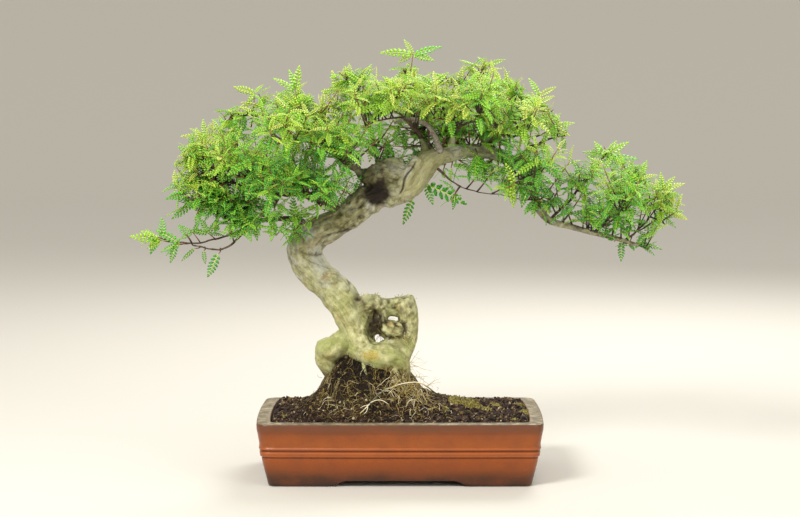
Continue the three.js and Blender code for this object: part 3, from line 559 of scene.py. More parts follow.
def makeSoil(material):
    # a grid over the round-cornered inside of the pot, then a wall and a floor that close it
    halfX, halfY = potInside - soil["wallGap"]
    columns, rows, radius = soil["columns"], soil["rows"], soil["cornerRadius"]
    u, v = np.meshgrid(np.linspace(-1, 1, columns), np.linspace(-1, 1, rows))
    x, y = u * (halfX - pot["shortBow"] * v ** 2), v * (halfY - pot["longBow"] * u ** 2)
    overX = np.abs(x) - (halfX - pot["shortBow"] - radius)
    overY = np.abs(y) - (halfY - pot["longBow"] - radius)
    corner = (overX > 0) & (overY > 0)
    squeeze = 1 - np.maximum(overX, overY) / np.maximum(np.hypot(overX, overY), 1e-6)
    x = np.where(corner, x - np.sign(x) * overX * squeeze, x).ravel()
    y = np.where(corner, y - np.sign(y) * overY * squeeze, y).ravel()
    rough = soilRough(x, y)
    z = groundHeight(x, y) + rough
    top = np.column_stack([x, y, z])
    index = np.arange(rows * columns).reshape(rows, columns)
    edge = np.concatenate([index[0, :-1], index[:-1, -1], index[-1, :0:-1], index[:0:-1, 0]])
    # the wall's rows: their height and how far they draw in
    levels = [(60, 0.995), (40, 0.965), (17.2, 0.93), (soil["under"], 0.9)]
    skirt = [top[edge] * [share, share * 0.99, 0] + [0, 0, level] for level, share in levels]
    points = np.concatenate([top, *skirt, [[0, 0, soil["under"]]]])
    loops = np.concatenate([edge, np.arange(len(top), len(points) - 1)])
    walls = loops[gridQuads(len(levels) + 1, len(edge))][:, [1, 0, 3, 2]]
    faces = [np.concatenate([gridQuads(rows, columns, False), walls]),
             fan(len(points) - 1, loops[-len(edge):], False)]
    masks = np.zeros((len(points), 4))
    masks[:len(top), 0] = np.clip(0.5 + rough / 4, 0, 1)
    feltX, feltY = 62, 48  # how far the felt of roots reaches from the pad's middle
    masks[:len(top), 1] = np.exp(-((x - soil["pad"]["x"]) / feltX) ** 4 - (y / feltY) ** 4)
    masks[:len(top), 2] = smoothStep(z, 97, 112)
    meshPiece("pottingSoil", points, faces, material, ["soil"], masks)


def randomTurns(random, count):
    # rotation matrices from random unit quaternions
    w, x, y, z = unit(random.normal(size=(count, 4))).T
    return np.stack([
        np.stack([1 - 2 * (y * y + z * z), 2 * (x * y - z * w), 2 * (x * z + y * w)], -1),
        np.stack([2 * (x * y + z * w), 1 - 2 * (x * x + z * z), 2 * (y * z - x * w)], -1),
        np.stack([2 * (x * z - y * w), 2 * (y * z + x * w), 1 - 2 * (x * x + y * y)], -1)], 1)


def makeCrumbs(material):
    # octahedra, each squashed and turned: most are dark and 1 to 3 mm across, a few are pale grit
    # or bits of bark
    random = np.random.default_rng(soil["seed"])
    count = soil["crumbs"]
    x = random.uniform(-1, 1, count) * (potInside[0] - 4.5)
    y = random.uniform(-1, 1, count) * (potInside[1] - 4.5)
    size = random.gamma(4, 0.22, count) + 0.35
    shape = np.array([[1, 0, 0], [-1, 0, 0], [0, 1, 0], [0, -1, 0], [0, 0, 1], [0, 0, -1.0]])
    faces = np.array([[0, 2, 4], [2, 1, 4], [1, 3, 4], [3, 0, 4], [2, 0, 5], [1, 2, 5], [3, 1, 5],
                      [0, 3, 5]])
    stretch = random.uniform(0.55, 1.35, (count, 1, 3))
    jitter = random.uniform(0.75, 1.25, (count, len(shape), 1))
    turned = np.einsum("nij,nkj->nki", randomTurns(random, count), shape * stretch * jitter)
    z = groundHeight(x, y) + soilRough(x, y) + size * 0.25
    points = turned * size[:, None, None] + np.stack([x, y, z], 1)[:, None]
    masks = np.zeros((count, len(shape), 4))
    masks[..., 0] = random.random(count)[:, None]
    for column, above in ((1, 0.955), (2, 0.93)):
        masks[..., column] = (random.random(count) > above)[:, None]
    meshPiece("soilCrumbs", points, [repeatFaces(faces, count, len(shape))], material, (),
              masks, smooth=False)


def moistPeat(name, loose):
    # damp peat and bark humus: nearly black, crumbly and matte, with paler dry grains; on the
    # mound it is bound by a felt of straw-brown roots
    material, tree, _, grains, felt, crumbs = newMaterial(
        name, {"Roughness": 0.92, "IOR": 1.45, "Specular IOR Level": 0.25},
        [(2.0, 6, 0.75), (3.2, 8, 0.8, 1.6), (1.2, 4, 0.7)])
    tone, second, third, _ = readMasks(tree)
    half = addNode(tree, "Math", {0: tone, 1: 0.5}, operation="MULTIPLY")
    mixed = addNode(tree, "Math", {0: grains, 1: 0.65, 2: half}, operation="MULTIPLY_ADD")
    peat = addNode(tree, "ValToRGB", {0: mixed}, stops=[
        (0.3, "0b0706"), (0.5, "20150f"), (0.66, "39281d"), (0.76, "5e4934"), (0.86, "9a825c")])
    matted = addNode(tree, "ValToRGB", {0: felt}, stops=[
        (0.45, "0b0805"), (0.58, "1e170e"), (0.68, "3c321c"), (0.76, "695a36")])
    # loose: pale grit and bits of bark; bound: the felt, and the shade under the trunk
    colour = layOver(tree, peat, [(second, 1.0, "b3a283"), (third, 1.0, "6f5a2e")] if loose
                     else [(second, 0.85, matted), (third, 0.88, "0b0805")])
    return linkFinish(material, colour, [(crumbs, 0.5)])


roots = {
    "steps": 9, "seed": 41, "darkAbove": 106, "wallGap": 3,
    # roots on the ground: how many, middle and spread in x and y, length, radius, how pale, lift.
    # Whiskers have a place and its spread in x, y and z, and end with an aim.
    "groups": {
        "felt": (460, (-42, -14), (30, 22), 26, 0.26, 0.22, 2.6),
        "bright": (150, (-32, -22), (34, 20), 26, 0.27, 0.7, 3.5),
        "straw": (150, (8, -28), (14, 10), 24, 0.3, 0.8, 8.0),
        "golden": (110, (6, -25), (9, 5), 19, 0.3, 0.72, 3.5),
        "scattered": (150, (20, -10), (75, 35), 15, 0.26, 0.5, 1.5),
        "frontMat": (170, (-26, -50), (38, 10), 17, 0.25, 0.42, 1.6),
        "stout": (12, (-34, -18), (26, 20), 44, 0.6, 0.35, 3.0),
        "straggle": (60, (-72, -26), (14, 18), 24, 0.25, 0.6, 4.0),
        "underKnee": (34, (-66, -11, 110), (8, 3, 3), 17, 0.25, 0.5, (0, -0.4, -0.8)),
        "underBelly": (40, (-10, -24, 114), (13, 3, 3), 18, 0.25, 0.45, (0.1, -0.5, -0.7)),
        "leftFringe": (46, (-76, -6, 90), (5, 10, 8), 15, 0.24, 0.45, (-0.7, -0.3, -0.1)),
        "rightFringe": (60, (14, -14, 92), (10, 9, 6), 17, 0.25, 0.65, (0.6, -0.4, 0.15)),
        "elbow": (24, (8, -12, 120), (4, 3, 5), 24, 0.26, 0.75, (0.7, -0.3, -0.7)),
        "core": (46, (-26, -8, 164), (4, 2, 7), 15, 0.24, 0.2, (0.1, -0.3, -0.7)),
        "burlBeard": (44, (1, -15, 152), (6, 1.5, 5), 12, 0.2, 0.75, (0.3, -0.3, -0.6)),
        "stubFuzz": (60, (-32, -8, 192), (7, 3, 1.6), 5, 0.22, 0.6, (0, -0.2, 0.8)),
        "rimFuzz": (26, (2, -6, 192), (5, 3, 1.5), 4, 0.2, 0.5, (0, -0.2, 0.8)),
        "backMat": (130, (-32, 24), (28, 14), 22, 0.27, 0.5, 2.4),
    },
    # single roots: how grey, thickness and rows of x, y, z and how pale
    "strands": [
        (0, 0.8, [
            [(43, -40, 89, 0.1), (31, -42, 99, 0.2), (21, -43, 105, 0.9), (9, -45, 105.5, 1),
                (-4, -46, 102.5, 0.95), (-14, -48, 98.5, 0.8)]]),
        (0.85, 0.8, [
            [(-12, -47, 99.5, 0.4), (-21, -51, 95, 0.3), (-27, -55, 90, 0.3),
                (-33, -59, 84, 0.5)]]),
        (0, 0.7, [
            [(-32, -59, 85, 1), (-36, -62, 81, 1), (-42, -66, 76, 0.8)],
            [(-31, -58, 86, 1), (-25, -60, 89, 1), (-19, -61, 89, 1), (-12, -62, 85, 0.9)]]),
        (0, 0.45, [
            [(-33, -60, 84, 1), (-38, -61, 83, 1), (-42, -62, 81, 0.9)],
            [(-34, -61, 82, 1), (-35, -63, 78, 1), (-38, -65, 75, 0.9)]]),
    ],
}


def overGround(random, group, steps):
    # roots that lie on the ground: each step goes partly level and partly up or down the slope, by
    # an angle that wanders, and more of them start on steep ground, so that they lie in all
    # directions and are spread evenly over its surface
    count, middle, spread, length, _, _, lift = group

    def climb(x, y):
        here = groundHeight(x, y)
        return here, groundHeight(x + 1, y) - here, groundHeight(x, y + 1) - here

    x, y = (random.normal(middle[i], spread[i], count * 4) for i in (0, 1))
    _, climbX, climbY = climb(x, y)
    steep = np.sqrt(1 + np.hypot(climbX, climbY) ** 2)
    chosen = random.choice(len(x), count, replace=False, p=steep / steep.sum())
    x, y = x[chosen], y[chosen]
    turn = random.uniform(0, 2 * math.pi, count)
    reach = random.uniform(0.5, 1.2, count) * length / steps
    rows = []
    for _ in range(steps):
        z, climbX, climbY = climb(x, y)
        rows.append(np.stack([x, y, z], -1))
        turn = turn + random.normal(0, 0.5, count)
        slope = np.maximum(np.hypot(climbX, climbY), 1e-6)
        level, uphill = reach * np.cos(turn), reach * np.sin(turn) / np.sqrt(1 + slope ** 2)
        x = x + (uphill * climbX - level * climbY) / slope
        y = y + (uphill * climbY + level * climbX) / slope
    path = np.stack(rows, 1)
    share = np.linspace(0, 1, steps)
    raised = np.sin(math.pi * share) * random.uniform(0, 1, (count, 1)) * lift
    waves, phase = random.uniform(4, 14, (count, 1)), random.uniform(0, 6, (count, 1))
    raised += np.sin(share * waves + phase) * 0.8
    path[..., 2] += raised + 0.4
    path[..., 1] -= 0.5 * raised
    limit = potInside - roots["wallGap"]
    path[..., :2] = np.clip(path[..., :2], -limit, limit)
    return path


def throughAir(random, group, steps):
    # whiskers: each leaves its place along the group's aim and turns a little at every step
    count, middle, spread, length, _, _, aim = group
    start = random.normal(middle, spread, (count, 3))
    way = unit(np.array(aim, float) + random.normal(0, 0.45, (count, 3)))
    turns = np.cumsum(random.normal(0, 0.3, (count, steps, 3)), axis=1)
    reach = random.uniform(0.5, 1.2, (count, 1, 1)) * length / steps
    path = start[:, None] + np.cumsum(unit(way[:, None] + turns) * reach, axis=1)
    path[..., 2] = np.maximum(path[..., 2], groundHeight(path[..., 0], path[..., 1]) + 0.3)
    return path


def makeFineRoots(material):
    random = np.random.default_rng(roots["seed"])
    steps, sides = roots["steps"], 3
    paths, radii, pales, greys = [], [], [], []
    for group in roots["groups"].values():
        count, middle, _, _, radius, pale, _ = group
        onGround = len(middle) == 2
        path = (overGround if onGround else throughAir)(random, group, steps)
        thin = random.uniform(0.6, 1.25, (count, 1)) * radius * np.linspace(1, 0.5, steps)
        shade = random.normal(pale, 0.2, count)
        # roots on the ground high on the mound, under the trunk, are darkened as painted shade
        shade -= onGround * 0.5 * smoothStep(path[:, 0, 2] - roots["darkAbove"], -4, 12)
        paths.append(path)
        radii.append(thin)
        pales.append(np.repeat(np.clip(shade, 0, 1)[:, None], steps, axis=1))
        greys.append(np.zeros(count))
    for grey, thick, lines in roots["strands"]:
        for rows in lines:
            line = smoothPath(rows, 1.0)
            line = line[np.linspace(0, len(line) - 1, steps).astype(int)]
            paths.append(line[None, :, :3])
            radii.append(np.linspace(thick, thick * 0.7, steps)[None])
            pales.append(line[None, :, 3])
            greys.append([grey])
    pales = np.concatenate(pales)
    points, quads, caps, each = tubes(np.concatenate(paths), np.concatenate(radii), sides)
    masks = np.zeros((len(pales), each, 4))
    masks[:, :steps * sides, 0] = np.repeat(pales, sides, axis=1)
    masks[:, -2:, 0] = pales[:, [0, -1]]
    masks[..., 1] = np.concatenate(greys)[:, None]
    meshPiece("fineRoots", points, [quads, caps], material, (), masks)


def dryRoots():
    # dead hair roots: straw and umber, dull, darker in patches and where their pale mask carries
    # painted shade
    material, tree, _, patch, fibre = newMaterial(
        "dryHairRoots", {"Roughness": 0.75, "IOR": 1.45, "Specular IOR Level": 0.3},
        [(6, 3, 0.55), (1.0, 3, 0.55)])
    pale, grey, _, _ = readMasks(tree)
    drift = addNode(tree, "Math", {0: patch, 1: 0.7, 2: -0.35}, operation="MULTIPLY_ADD")
    mixed = addNode(tree, "Math", {0: pale, 1: drift}, operation="ADD")
    straw = addNode(tree, "ValToRGB", {0: mixed}, stops=[
        (0.05, "221a0f"), (0.3, "524325"), (0.55, "8e7a42"), (0.8, "c6ad66"), (1.0, "e6dcbc")])
    colour = addNode(tree, "Mix", {0: grey, 6: straw, 7: "6f7561"}, 2, data_type="RGBA")
    return linkFinish(material, colour, [(fibre, 0.1)])


moss = {
    "seed": 8, "rings": 9, "spokes": 22, "sunk": 1.2,
    # middle x y, half length, half depth and height of each cushion
    "cushions": [
        (62, -3, 12, 11, 6.5), (77, -7, 14, 10, 7.5), (93, -10, 9, 5, 3), (138, 0, 7, 9, 3),
        (122, -46, 6, 5, 2), (104, 22, 8, 6, 2.5), (-124, -34, 6, 3.5, 2), (50, -34, 6, 5, 2.5),
        (132, 36, 7, 6, 2.5), (-96, 30, 8, 6, 2.5)
    ],
}


def makeMoss(material):
    # each cushion is a low dome, height (1 - r^2) with tufts from noise, sunk at its rim
    random = np.random.default_rng(moss["seed"])
    rings, spokes, sunk = moss["rings"], moss["spokes"], moss["sunk"]
    share = np.linspace(1, 0, rings, endpoint=False)[:, None]
    turn = roundTurn(spokes)
    last = rings * spokes
    caps = np.concatenate([fan(last, np.arange(last - spokes, last)),
                           fan(last + 1, np.arange(spokes), False)])
    parts = []
    for x0, y0, halfX, halfY, high in moss["cushions"]:
        ragged = 1 + 0.22 * np.sin(turn * 3 + random.uniform(0, 6))
        ragged += 0.14 * random.normal(size=spokes)
        x = x0 + share * ragged * halfX * np.cos(turn)
        y = y0 + share * ragged * halfY * np.sin(turn)
        flat = np.stack([x.ravel(), y.ravel(), np.zeros(x.size)], 1)
        tufts = 1 + 0.55 * roughNoise(flat / 2.3, 61, 2).reshape(x.shape)
        z = groundHeight(x, y) - sunk + (high + sunk) * (1 - share ** 2) * tufts
        middle = groundHeight(x0, y0)
        points = np.concatenate([np.stack([x, y, z], -1).reshape(-1, 3),
                                 [[x0, y0, middle + high], [x0, y0, middle - 4]]])
        parts.append((points, gridQuads(rings, spokes), caps))
    points, quads, caps = joinParts(parts)
    meshPiece("mossCushions", points, [quads, caps], material)


def cushionMoss():
    # short dry cushion moss: matte, yellow-green with straw tips, no shine at all
    material, tree, _, tuft, tip = newMaterial(
        "cushionMoss", {"Roughness": 0.95, "IOR": 1.4, "Specular IOR Level": 0.15},
        [(1.8, 6, 0.75), (1.1, 4, 0.7)])
    colour = addNode(tree, "ValToRGB", {0: tuft}, stops=[(0.36, "292210"), (0.47, "5f552c"),
                                                         (0.58, "938749"), (0.7, "c4b980")])
    return linkFinish(material, colour, [(tip, 0.8)])


netting = {"pitch": 3.2, "radius": 0.3, "wave": 0.26, "steps": 41}  # mm


def makeNetting(node, material):
    # round strands 0.6 mm thick, woven over and under at their pitch, inside the solid's box
    low, high = (np.array(corner) * 1000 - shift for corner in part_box(node))
    half = (high - low)[0] / 2 - netting["radius"]
    number = int(half // netting["pitch"])
    offsets = (np.arange(-number, number + 1) * netting["pitch"])[:, None]
    walk = np.linspace(-half, half, netting["steps"])[None]
    wave = netting["wave"] * np.cos(math.pi * walk / netting["pitch"])
    wave = np.where(np.arange(len(offsets)) % 2, 1, -1)[:, None] * wave
    lengthwise = np.stack(np.broadcast_arrays(walk, offsets, wave), -1)
    crosswise = np.stack(np.broadcast_arrays(offsets, walk, -wave), -1)
    paths = np.concatenate([lengthwise, crosswise]) + (low + high) / 2
    points, quads, caps, _ = tubes(paths, np.full(paths.shape[:2], netting["radius"]), 4)
    meshPiece("netting" + node.title().replace("_", ""), points, [quads, caps], material,
              [node])


def blackPlastic():
    # extruded polyethylene netting: black, slightly waxy, dusted by the soil
    material, tree, _, dust, grain = newMaterial(
        "blackPolyethylene", {"Roughness": 0.5, "IOR": 1.51}, [(4, 4, 0.55), (0.8, 3, 0.55)])
    colour = addNode(tree, "ValToRGB", {0: dust}, stops=[(0.45, "191a1b"), (0.7, "3a2e26")])
    return linkFinish(material, colour, [(grain, 0.08)])


makeSoil(moistPeat("moistPeat", False))
makeCrumbs(moistPeat("loosePeatCrumbs", True))
makeFineRoots(dryRoots())
makeMoss(cushionMoss())
netPlastic = blackPlastic()
for screen in ("drainage_screen_left", "drainage_screen_right"):
    makeNetting(screen, netPlastic)
print("soil: ground, crumbs, roots, moss and drainage netting")


# Wood: rows of x, y, z and radius, in mm

trunk = [
    (-48, 3, 108, 13), (-41, 0, 132, 16.5), (-45, 0, 151, 16), (-52, 0, 171, 18.5),
    (-59, 0, 185, 18.5), (-74, 2, 202, 18), (-93, 6, 220, 18), (-102, 9, 235, 19),
    (-102, 10, 248, 19.5), (-91, 8, 260, 18), (-76, 4, 267, 16), (-61, 0, 276, 15),
    (-42, -4, 291, 15.5), (-24, -6, 303, 16.5), (-5, -4, 305, 14.5), (9, 0, 310, 14),
    (19, 4, 323, 13.5), (30, 6, 337, 13.5), (41, 8, 344, 10.5)
]
cascade = [
    (41, 8, 344, 10), (54, 9, 345, 8.5), (68, 8, 349, 8), (84, 6, 349, 7.5), (102, 2, 345, 6.5),
    (121, -3, 338, 6), (135, -6, 328, 5.5), (142, -8, 311, 5), (147, -8, 290, 4.5),
    (160, -6, 275, 4), (180, -4, 269, 3.5), (208, -2, 261, 3), (232, 0, 255, 3), (258, 2, 247, 2)
]
rootsAndStubs = {
    "kneeRoot": [(-48, 2, 154, 14.5), (-60, 4, 142, 14), (-70, 4, 136, 14), (-77, 3, 132, 14),
        (-81, 2, 125, 11.5), (-78, 0, 117, 9.5), (-72, 0, 105, 8), (-66, 0, 76, 6)],
    "frontRoot": [(-46, -4, 149, 14), (-37, -14, 136, 13), (-24, -19, 129, 13),
        (-10, -18, 127, 12.5), (0, -14, 122, 10.5), (2, -10, 111, 9), (2, -8, 76, 6)],
    "backRoot": [(-41, 6, 140, 12), (-33, 14, 119, 11), (-31, 18, 101, 10), (-31, 18, 72, 6)],
    "rootCrown": [(-68, 0, 82, 7), (-46, 5, 84, 11), (-22, 5, 84, 12), (4, -8, 82, 7)],
    "stump": [(2, -8, 126, 8.5), (9, 2, 142, 8.5), (11, 4, 160, 9), (10, 4, 176, 9.5),
        (5, 2, 191, 10)],
    "stumpBridge": [(6, 2, 185, 8.5), (-10, 2, 181.5, 8.7), (-27, -2, 183, 9.5),
        (-43, -2, 182, 11)],
    "rootLobe": [(-24, -14, 133, 8.5), (-14, -9, 141, 7), (-2, -5, 142, 7.5), (5, -3, 140, 7.5)],
    "burl": [(-19, -2, 182, 6), (-20, -4, 173, 6), (-17, -6, 163, 7), (-7, -7, 158, 10),
        (2, -4, 150, 8)],
    "innerWeb": [(-31, 6, 179, 8.5), (-28, 8, 165, 8), (-20, 8, 155, 5.5), (-8, 4, 145, 6)],
    "scarCallus": [(-21, -8, 301, 14), (-24, -4, 314, 14.5), (-21, 0, 326, 13), (-20, 2, 332, 9)],
    "callusRidge": [(-36, -4, 320, 9), (-20, -8, 326, 11), (-4, -6, 326, 11), (8, 0, 326, 9)],
    "bendStub": [(-104, 8, 242, 14), (-111, 6, 253, 9.5), (-115, 4, 257, 6.5)],
}
limbs = {
    "lowLeft": [(-88, 6, 262, 6.5), (-107, -4, 274, 5.5), (-132, -12, 277, 4.5),
        (-156, -16, 274, 4), (-167, -18, 262, 3), (-190, -18, 245, 2), (-222, -14, 250, 1.3)],
    "farLeft": [(-156, -16, 274, 3), (-175, -10, 262, 2.5), (-197, -6, 255, 2),
        (-217, -4, 250, 1.8), (-244, -2, 251, 1.3)],
    "midLeft": [(-58, 2, 279, 6), (-80, -6, 294, 5), (-109, -14, 303, 4.5),
        (-138, -20, 305, 3.5), (-170, -24, 314, 3), (-199, -24, 328, 1.8)],
    "midLeftFront": [(-80, -6, 294, 3.5), (-90, -35, 304, 3), (-110, -60, 311, 2.4),
        (-135, -72, 318, 1.6)],
    "midLeftBack": [(-109, -14, 303, 3.5), (-124, 20, 317, 3), (-151, 50, 324, 2.3),
        (-172, 66, 332, 1.6)],
    "highLeft": [(-32, -2, 314, 6), (-51, -4, 334, 5), (-75, -4, 352, 4.5), (-104, 0, 369, 3.5),
        (-134, 4, 384, 2.5), (-152, 6, 388, 1.7)],
    "highLeftFront": [(-51, -4, 334, 3.5), (-65, -30, 349, 3), (-78, -54, 358, 2.4),
        (-98, -72, 362, 1.6)],
    "highLeftBack": [(-51, -4, 334, 3.5), (-70, 28, 349, 3.2), (-96, 56, 362, 2.4),
        (-114, 74, 368, 1.7)],
    "crownLeft": [(-17, 2, 316, 5.5), (-24, 4, 341, 4.5), (-32, 4, 369, 3.5), (-41, 4, 395, 2.5),
        (-48, 4, 408, 1.8)],
    "crown": [(32, 8, 341, 6.5), (23, 14, 362, 5), (13, 16, 388, 4), (9, 14, 414, 2),
        (7, 12, 430, 1.0)],
    "crownFront": [(23, 14, 362, 4), (13, -20, 377, 3), (2, -48, 388, 2.4), (-5, -62, 393, 1.6)],
    "crownBack": [(23, 14, 362, 4), (27, 45, 375, 3.4), (29, 68, 383, 2.4), (28, 80, 386, 1.8)],
    "crownRight": [(52, 9, 345, 5.5), (58, 6, 369, 4.5), (69, 4, 395, 3), (79, 2, 418, 1.8)],
    "crownRightFront": [(58, 6, 369, 3.5), (63, -25, 375, 3), (71, -48, 380, 2.4),
        (78, -60, 382, 1.6)],
    "shoulder": [(84, 6, 349, 5), (99, 6, 369, 4), (116, 6, 386, 3), (135, 6, 392, 2),
        (146, 6, 393, 1.4)],
    "shoulderBack": [(99, 6, 369, 3), (105, 36, 379, 2.8), (102, 60, 385, 2)],
    "shoulderFront": [(99, 6, 369, 3), (108, -20, 368, 2.8), (120, -38, 366, 2)],
    "rightShoulder": [(121, -3, 338, 4.5), (141, 0, 352, 3.5), (158, 2, 361, 2)],
    "rightFront": [(107, 0, 342, 3.5), (117, -22, 332, 3), (130, -40, 323, 1.8)],
    "cascadeRise": [(160, -6, 275, 3), (178, -4, 293, 3), (195, 0, 312, 2.5), (210, 4, 330, 2),
        (217, 5, 341, 1.5)],
    "cascadeHead": [(208, -2, 261, 3), (228, 4, 280, 2.5), (245, 8, 300, 2), (253, 9, 310, 1.5)],
    "cascadeFront": [(208, -2, 261, 2.5), (219, -20, 272, 2), (228, -36, 280, 1.5)],
    "cascadeBack": [(208, -2, 261, 2.5), (223, 22, 271, 2), (240, 42, 282, 1.5)],
    "cascadeTip": [(242, 1, 253, 2.5), (260, 2, 268, 2), (273, 2, 284, 1.4)],
    "scarTwig": [(36, 6, 334, 4), (58, -2, 315, 1.5), (77, -6, 307, 1.2), (110, -8, 302, 1.1),
        (132, -8, 297, 0.9)],
    "lowLeftRise": [(-160, -17, 271, 2.6), (-176, -19, 274, 2.2), (-194, -21, 284, 1.8),
        (-206, -22, 292, 1.5), (-216, -22, 295, 1.2)],
}
deadLimb = [(43, 2, 348, 4.5), (38, -4, 363, 3), (30, -8, 376, 2.5), (18, -10, 382, 2.5),
            (5, -12, 383, 2.2), (-6, -12, 379, 1.4)]
# surface roots: heading in degrees, reach and radius
surfaceRoots = [(4, 88, 3.2), (74, 56, 2.8), (172, 80, 3.2), (228, 66, 2.8), (272, 62, 3),
                (322, 84, 3)]
swellings = {
    "burlBall": [(-14, -7, 159, 7.5), (-8, -9, 158, 10), (0, -7, 157, 8.5)],
    "mossyStub": [(-45, -6, 181, 8), (-38, -7, 185, 9.5), (-28, -6, 186, 9.5), (-22, -4, 181, 8)],
    "earBulge": [(1, -1, 186, 8), (6, 1, 172, 9.5), (7, 1, 158, 9.5), (3, -2, 146, 9)],
    "kneeBall": [(-72, 3, 138, 13), (-77, 1, 134, 16.2), (-80, 1, 126, 12)],
    "frontBelly": [(-50, -8, 137, 13), (-32, -18, 133, 13.2), (-12, -19, 130, 12.8),
        (-2, -16, 128, 10)],
    "fibreCore": [(-28, 0, 172, 6), (-26, 0, 162, 6), (-24, 0, 151, 3.5)],
    "crackRidge": [(-4, -8, 300, 10), (3, -9, 314, 8.5), (11, -8, 328, 8), (20, -4, 340, 8)],
    "twigKnuckle": [(-30, -2, 322, 10), (-12, -2, 332, 10), (4, 0, 334, 9)],
    "spurLeft": [(-98, 6, 250, 14), (-106, 2, 258, 9), (-110, 0, 262, 6)],
    "spurFace": [(-74, -10, 214, 10), (-80, -16, 218, 6)],
    "holeLip": [(-18, -1, 169, 4.5), (-13, 0, 175, 5), (-4, 0, 175, 5)],
}
bark = {
    "voxel": 1.2, "smoothing": 10, "stubFrom": 4.5,  # limbs this thick start inside the trunk
    # how high each stands in mm, and the size of its pattern
    "lumps": 1.3, "ribs": 0.8, "wrinkles": 0.3, "pores": 0.6, "knobs": 2.2, "crease": 0.5,
    "lumpSize": 15, "foldSize": 5.5, "poreSize": 1.9, "knobSize": 7,
    # hollows in the front: middle x and z, half width and height, depth, lip, how far it wraps
    "scar": {"at": (-24.5, 302.5), "size": (16.5, 16), "depth": 6.5, "lip": 1.5, "wrap": -0.4},
    "stubHollow": {"at": (-44, 187), "size": (7.5, 9), "depth": 1.5, "lip": 0, "wrap": 0},
    "core": {"at": (-26, 161), "size": (9, 17), "depth": 3, "lip": 0, "wrap": 0},
    "stumpTop": {"at": (6, 2, 198), "size": 8, "depth": 6},
    "crack": {"from": (16, 340), "to": (-2, 303), "width": 1.1, "depth": 2.6},
    "burlRing": {"at": (-7.5, 158.5), "size": (13, 9.5), "width": 0.14, "depth": 2.2},
    # folds of the bark in the bends: their width and depth, and their lines as x and z
    "folds": {"width": 1.3, "depth": 1.3, "lines": [
        [(-38, 266), (-52, 264), (-68, 261), (-82, 257), (-90, 249)],
        [(-106, 241), (-96, 238), (-84, 238)], [(-60, 218), (-55, 209), (-53, 201)],
        [(-110, 262), (-104, 257), (-104, 252)]
    ]},
    # rougher or darker regions of the front: middle x and z, half width, half height; the darkening
    # of the shade region and of the burl is painted shade
    "callus": (-25, 324, 22, 15), "burl": (-14, 170, 30, 26), "shade": (-22, 322, 27, 18),
    # stained patches on the front: middle x and z, half width, half height, turn in degrees
    "stains": {
        "ochre": [(-31, 132, 10, 6.5, 0), (-3, 181, 3, 4, 0)],
        "ash": [(-88, 236, 8, 17, 25), (-60, 222, 8, 17, 35), (-98, 262, 10, 9, 0),
            (40, 350, 12, 8, 0)],
        "rust": [(-80, 216, 8, 1.8, 50), (-76, 236, 2.5, 2.5, 0)],
        "olive": [(-62, 196, 6, 26, 38), (-104, 243, 5, 16, 0), (-60, 279, 34, 12, 24),
            (-22, 322, 26, 14, 0), (-78, 126, 11, 9, 0)],
    },
}


def surfaceRootPath(heading, to, radius):
    # from the root crown under the soil, then out over the mound, half sunk in it
    pad, mound = soil["pad"], soil["mound"]
    path = [(pad["x"], pad["y"], 84, radius)]
    for share in (0.45, 0.7, 1):
        angle = math.radians(heading + 8 * math.sin(7 * share + heading))
        x = pad["x"] + to * share * math.cos(angle)
        y = pad["y"] + to * share * math.sin(angle) * math.sqrt(mound["depth"] / mound["length"])
        thickness = radius * (1.15 - 0.75 * share)
        path.append((x, y, soilHeight(x, y) + thickness * 0.1, thickness))
    return path


def oneTube(path, spacing, sides):
    stations = smoothPath(path, spacing)
    return tubes(stations[None, :, :3], stations[None, :, 3], sides)


def nearestOn(paths, points):
    # for each point: the offset from the nearest middle line, how far along it is, its radius
    # and its direction; nearest means least outside the wood's own radius
    lines = [smoothPath(path, 2.0) for path in paths]
    steps = [np.linalg.norm(np.diff(line[:, :3], axis=0), axis=1) for line in lines]
    # each rod's way starts at a number of its own, so that no two carry the same pattern
    walked = [np.append(0, np.cumsum(step)) + 977 * i for i, step in enumerate(steps)]
    heading = np.concatenate([unit(np.gradient(line[:, :3], axis=0)) for line in lines])
    stations = np.concatenate(lines)
    best = np.empty(len(points), int)
    some = 4000  # points taken at a time
    for start in range(0, len(points), some):
        part = points[start:start + some]
        gap = np.linalg.norm(part[:, None] - stations[None, :, :3], axis=2) - stations[:, 3]
        best[start:start + some] = gap.argmin(axis=1)
    return (points - stations[best, :3], np.concatenate(walked)[best], stations[best, 3],
            heading[best])


def readPoints(mesh, name):
    values = np.empty(len(mesh.vertices) * 3, np.float32)
    mesh.vertices.foreach_get(name, values)
    return values.reshape(-1, 3).astype(float)


def frontOval(x, z, shape):
    # distance from the middle of an oval on the front, 1 at its edge
    (middleX, middleZ), (halfX, halfZ) = shape["at"], shape["size"]
    return np.hypot((x - middleX) / halfX, (z - middleZ) / halfZ)


def frontBox(x, z, middleX, middleZ, halfX, halfZ):
    # 1 inside a soft-edged box on the front, 0 outside it
    return np.exp(-((x - middleX) / halfX) ** 4 - ((z - middleZ) / halfZ) ** 4)


def faceHollow(place, normal, hollow, wobble):
    # on the side that faces the front: 1 inside an oval, and its raised lip
    across = frontOval(place[:, 0], place[:, 2], hollow) * (1 + 0.24 * wobble)
    facing = smoothStep(-normal[:, 1], hollow["wrap"], hollow["wrap"] + 0.4) * (place[:, 1] < 4)
    return (facing * (1 - smoothStep(across, 0.45, 1.12)),
            facing * np.exp(-((across - 1.16) / 0.16) ** 2))


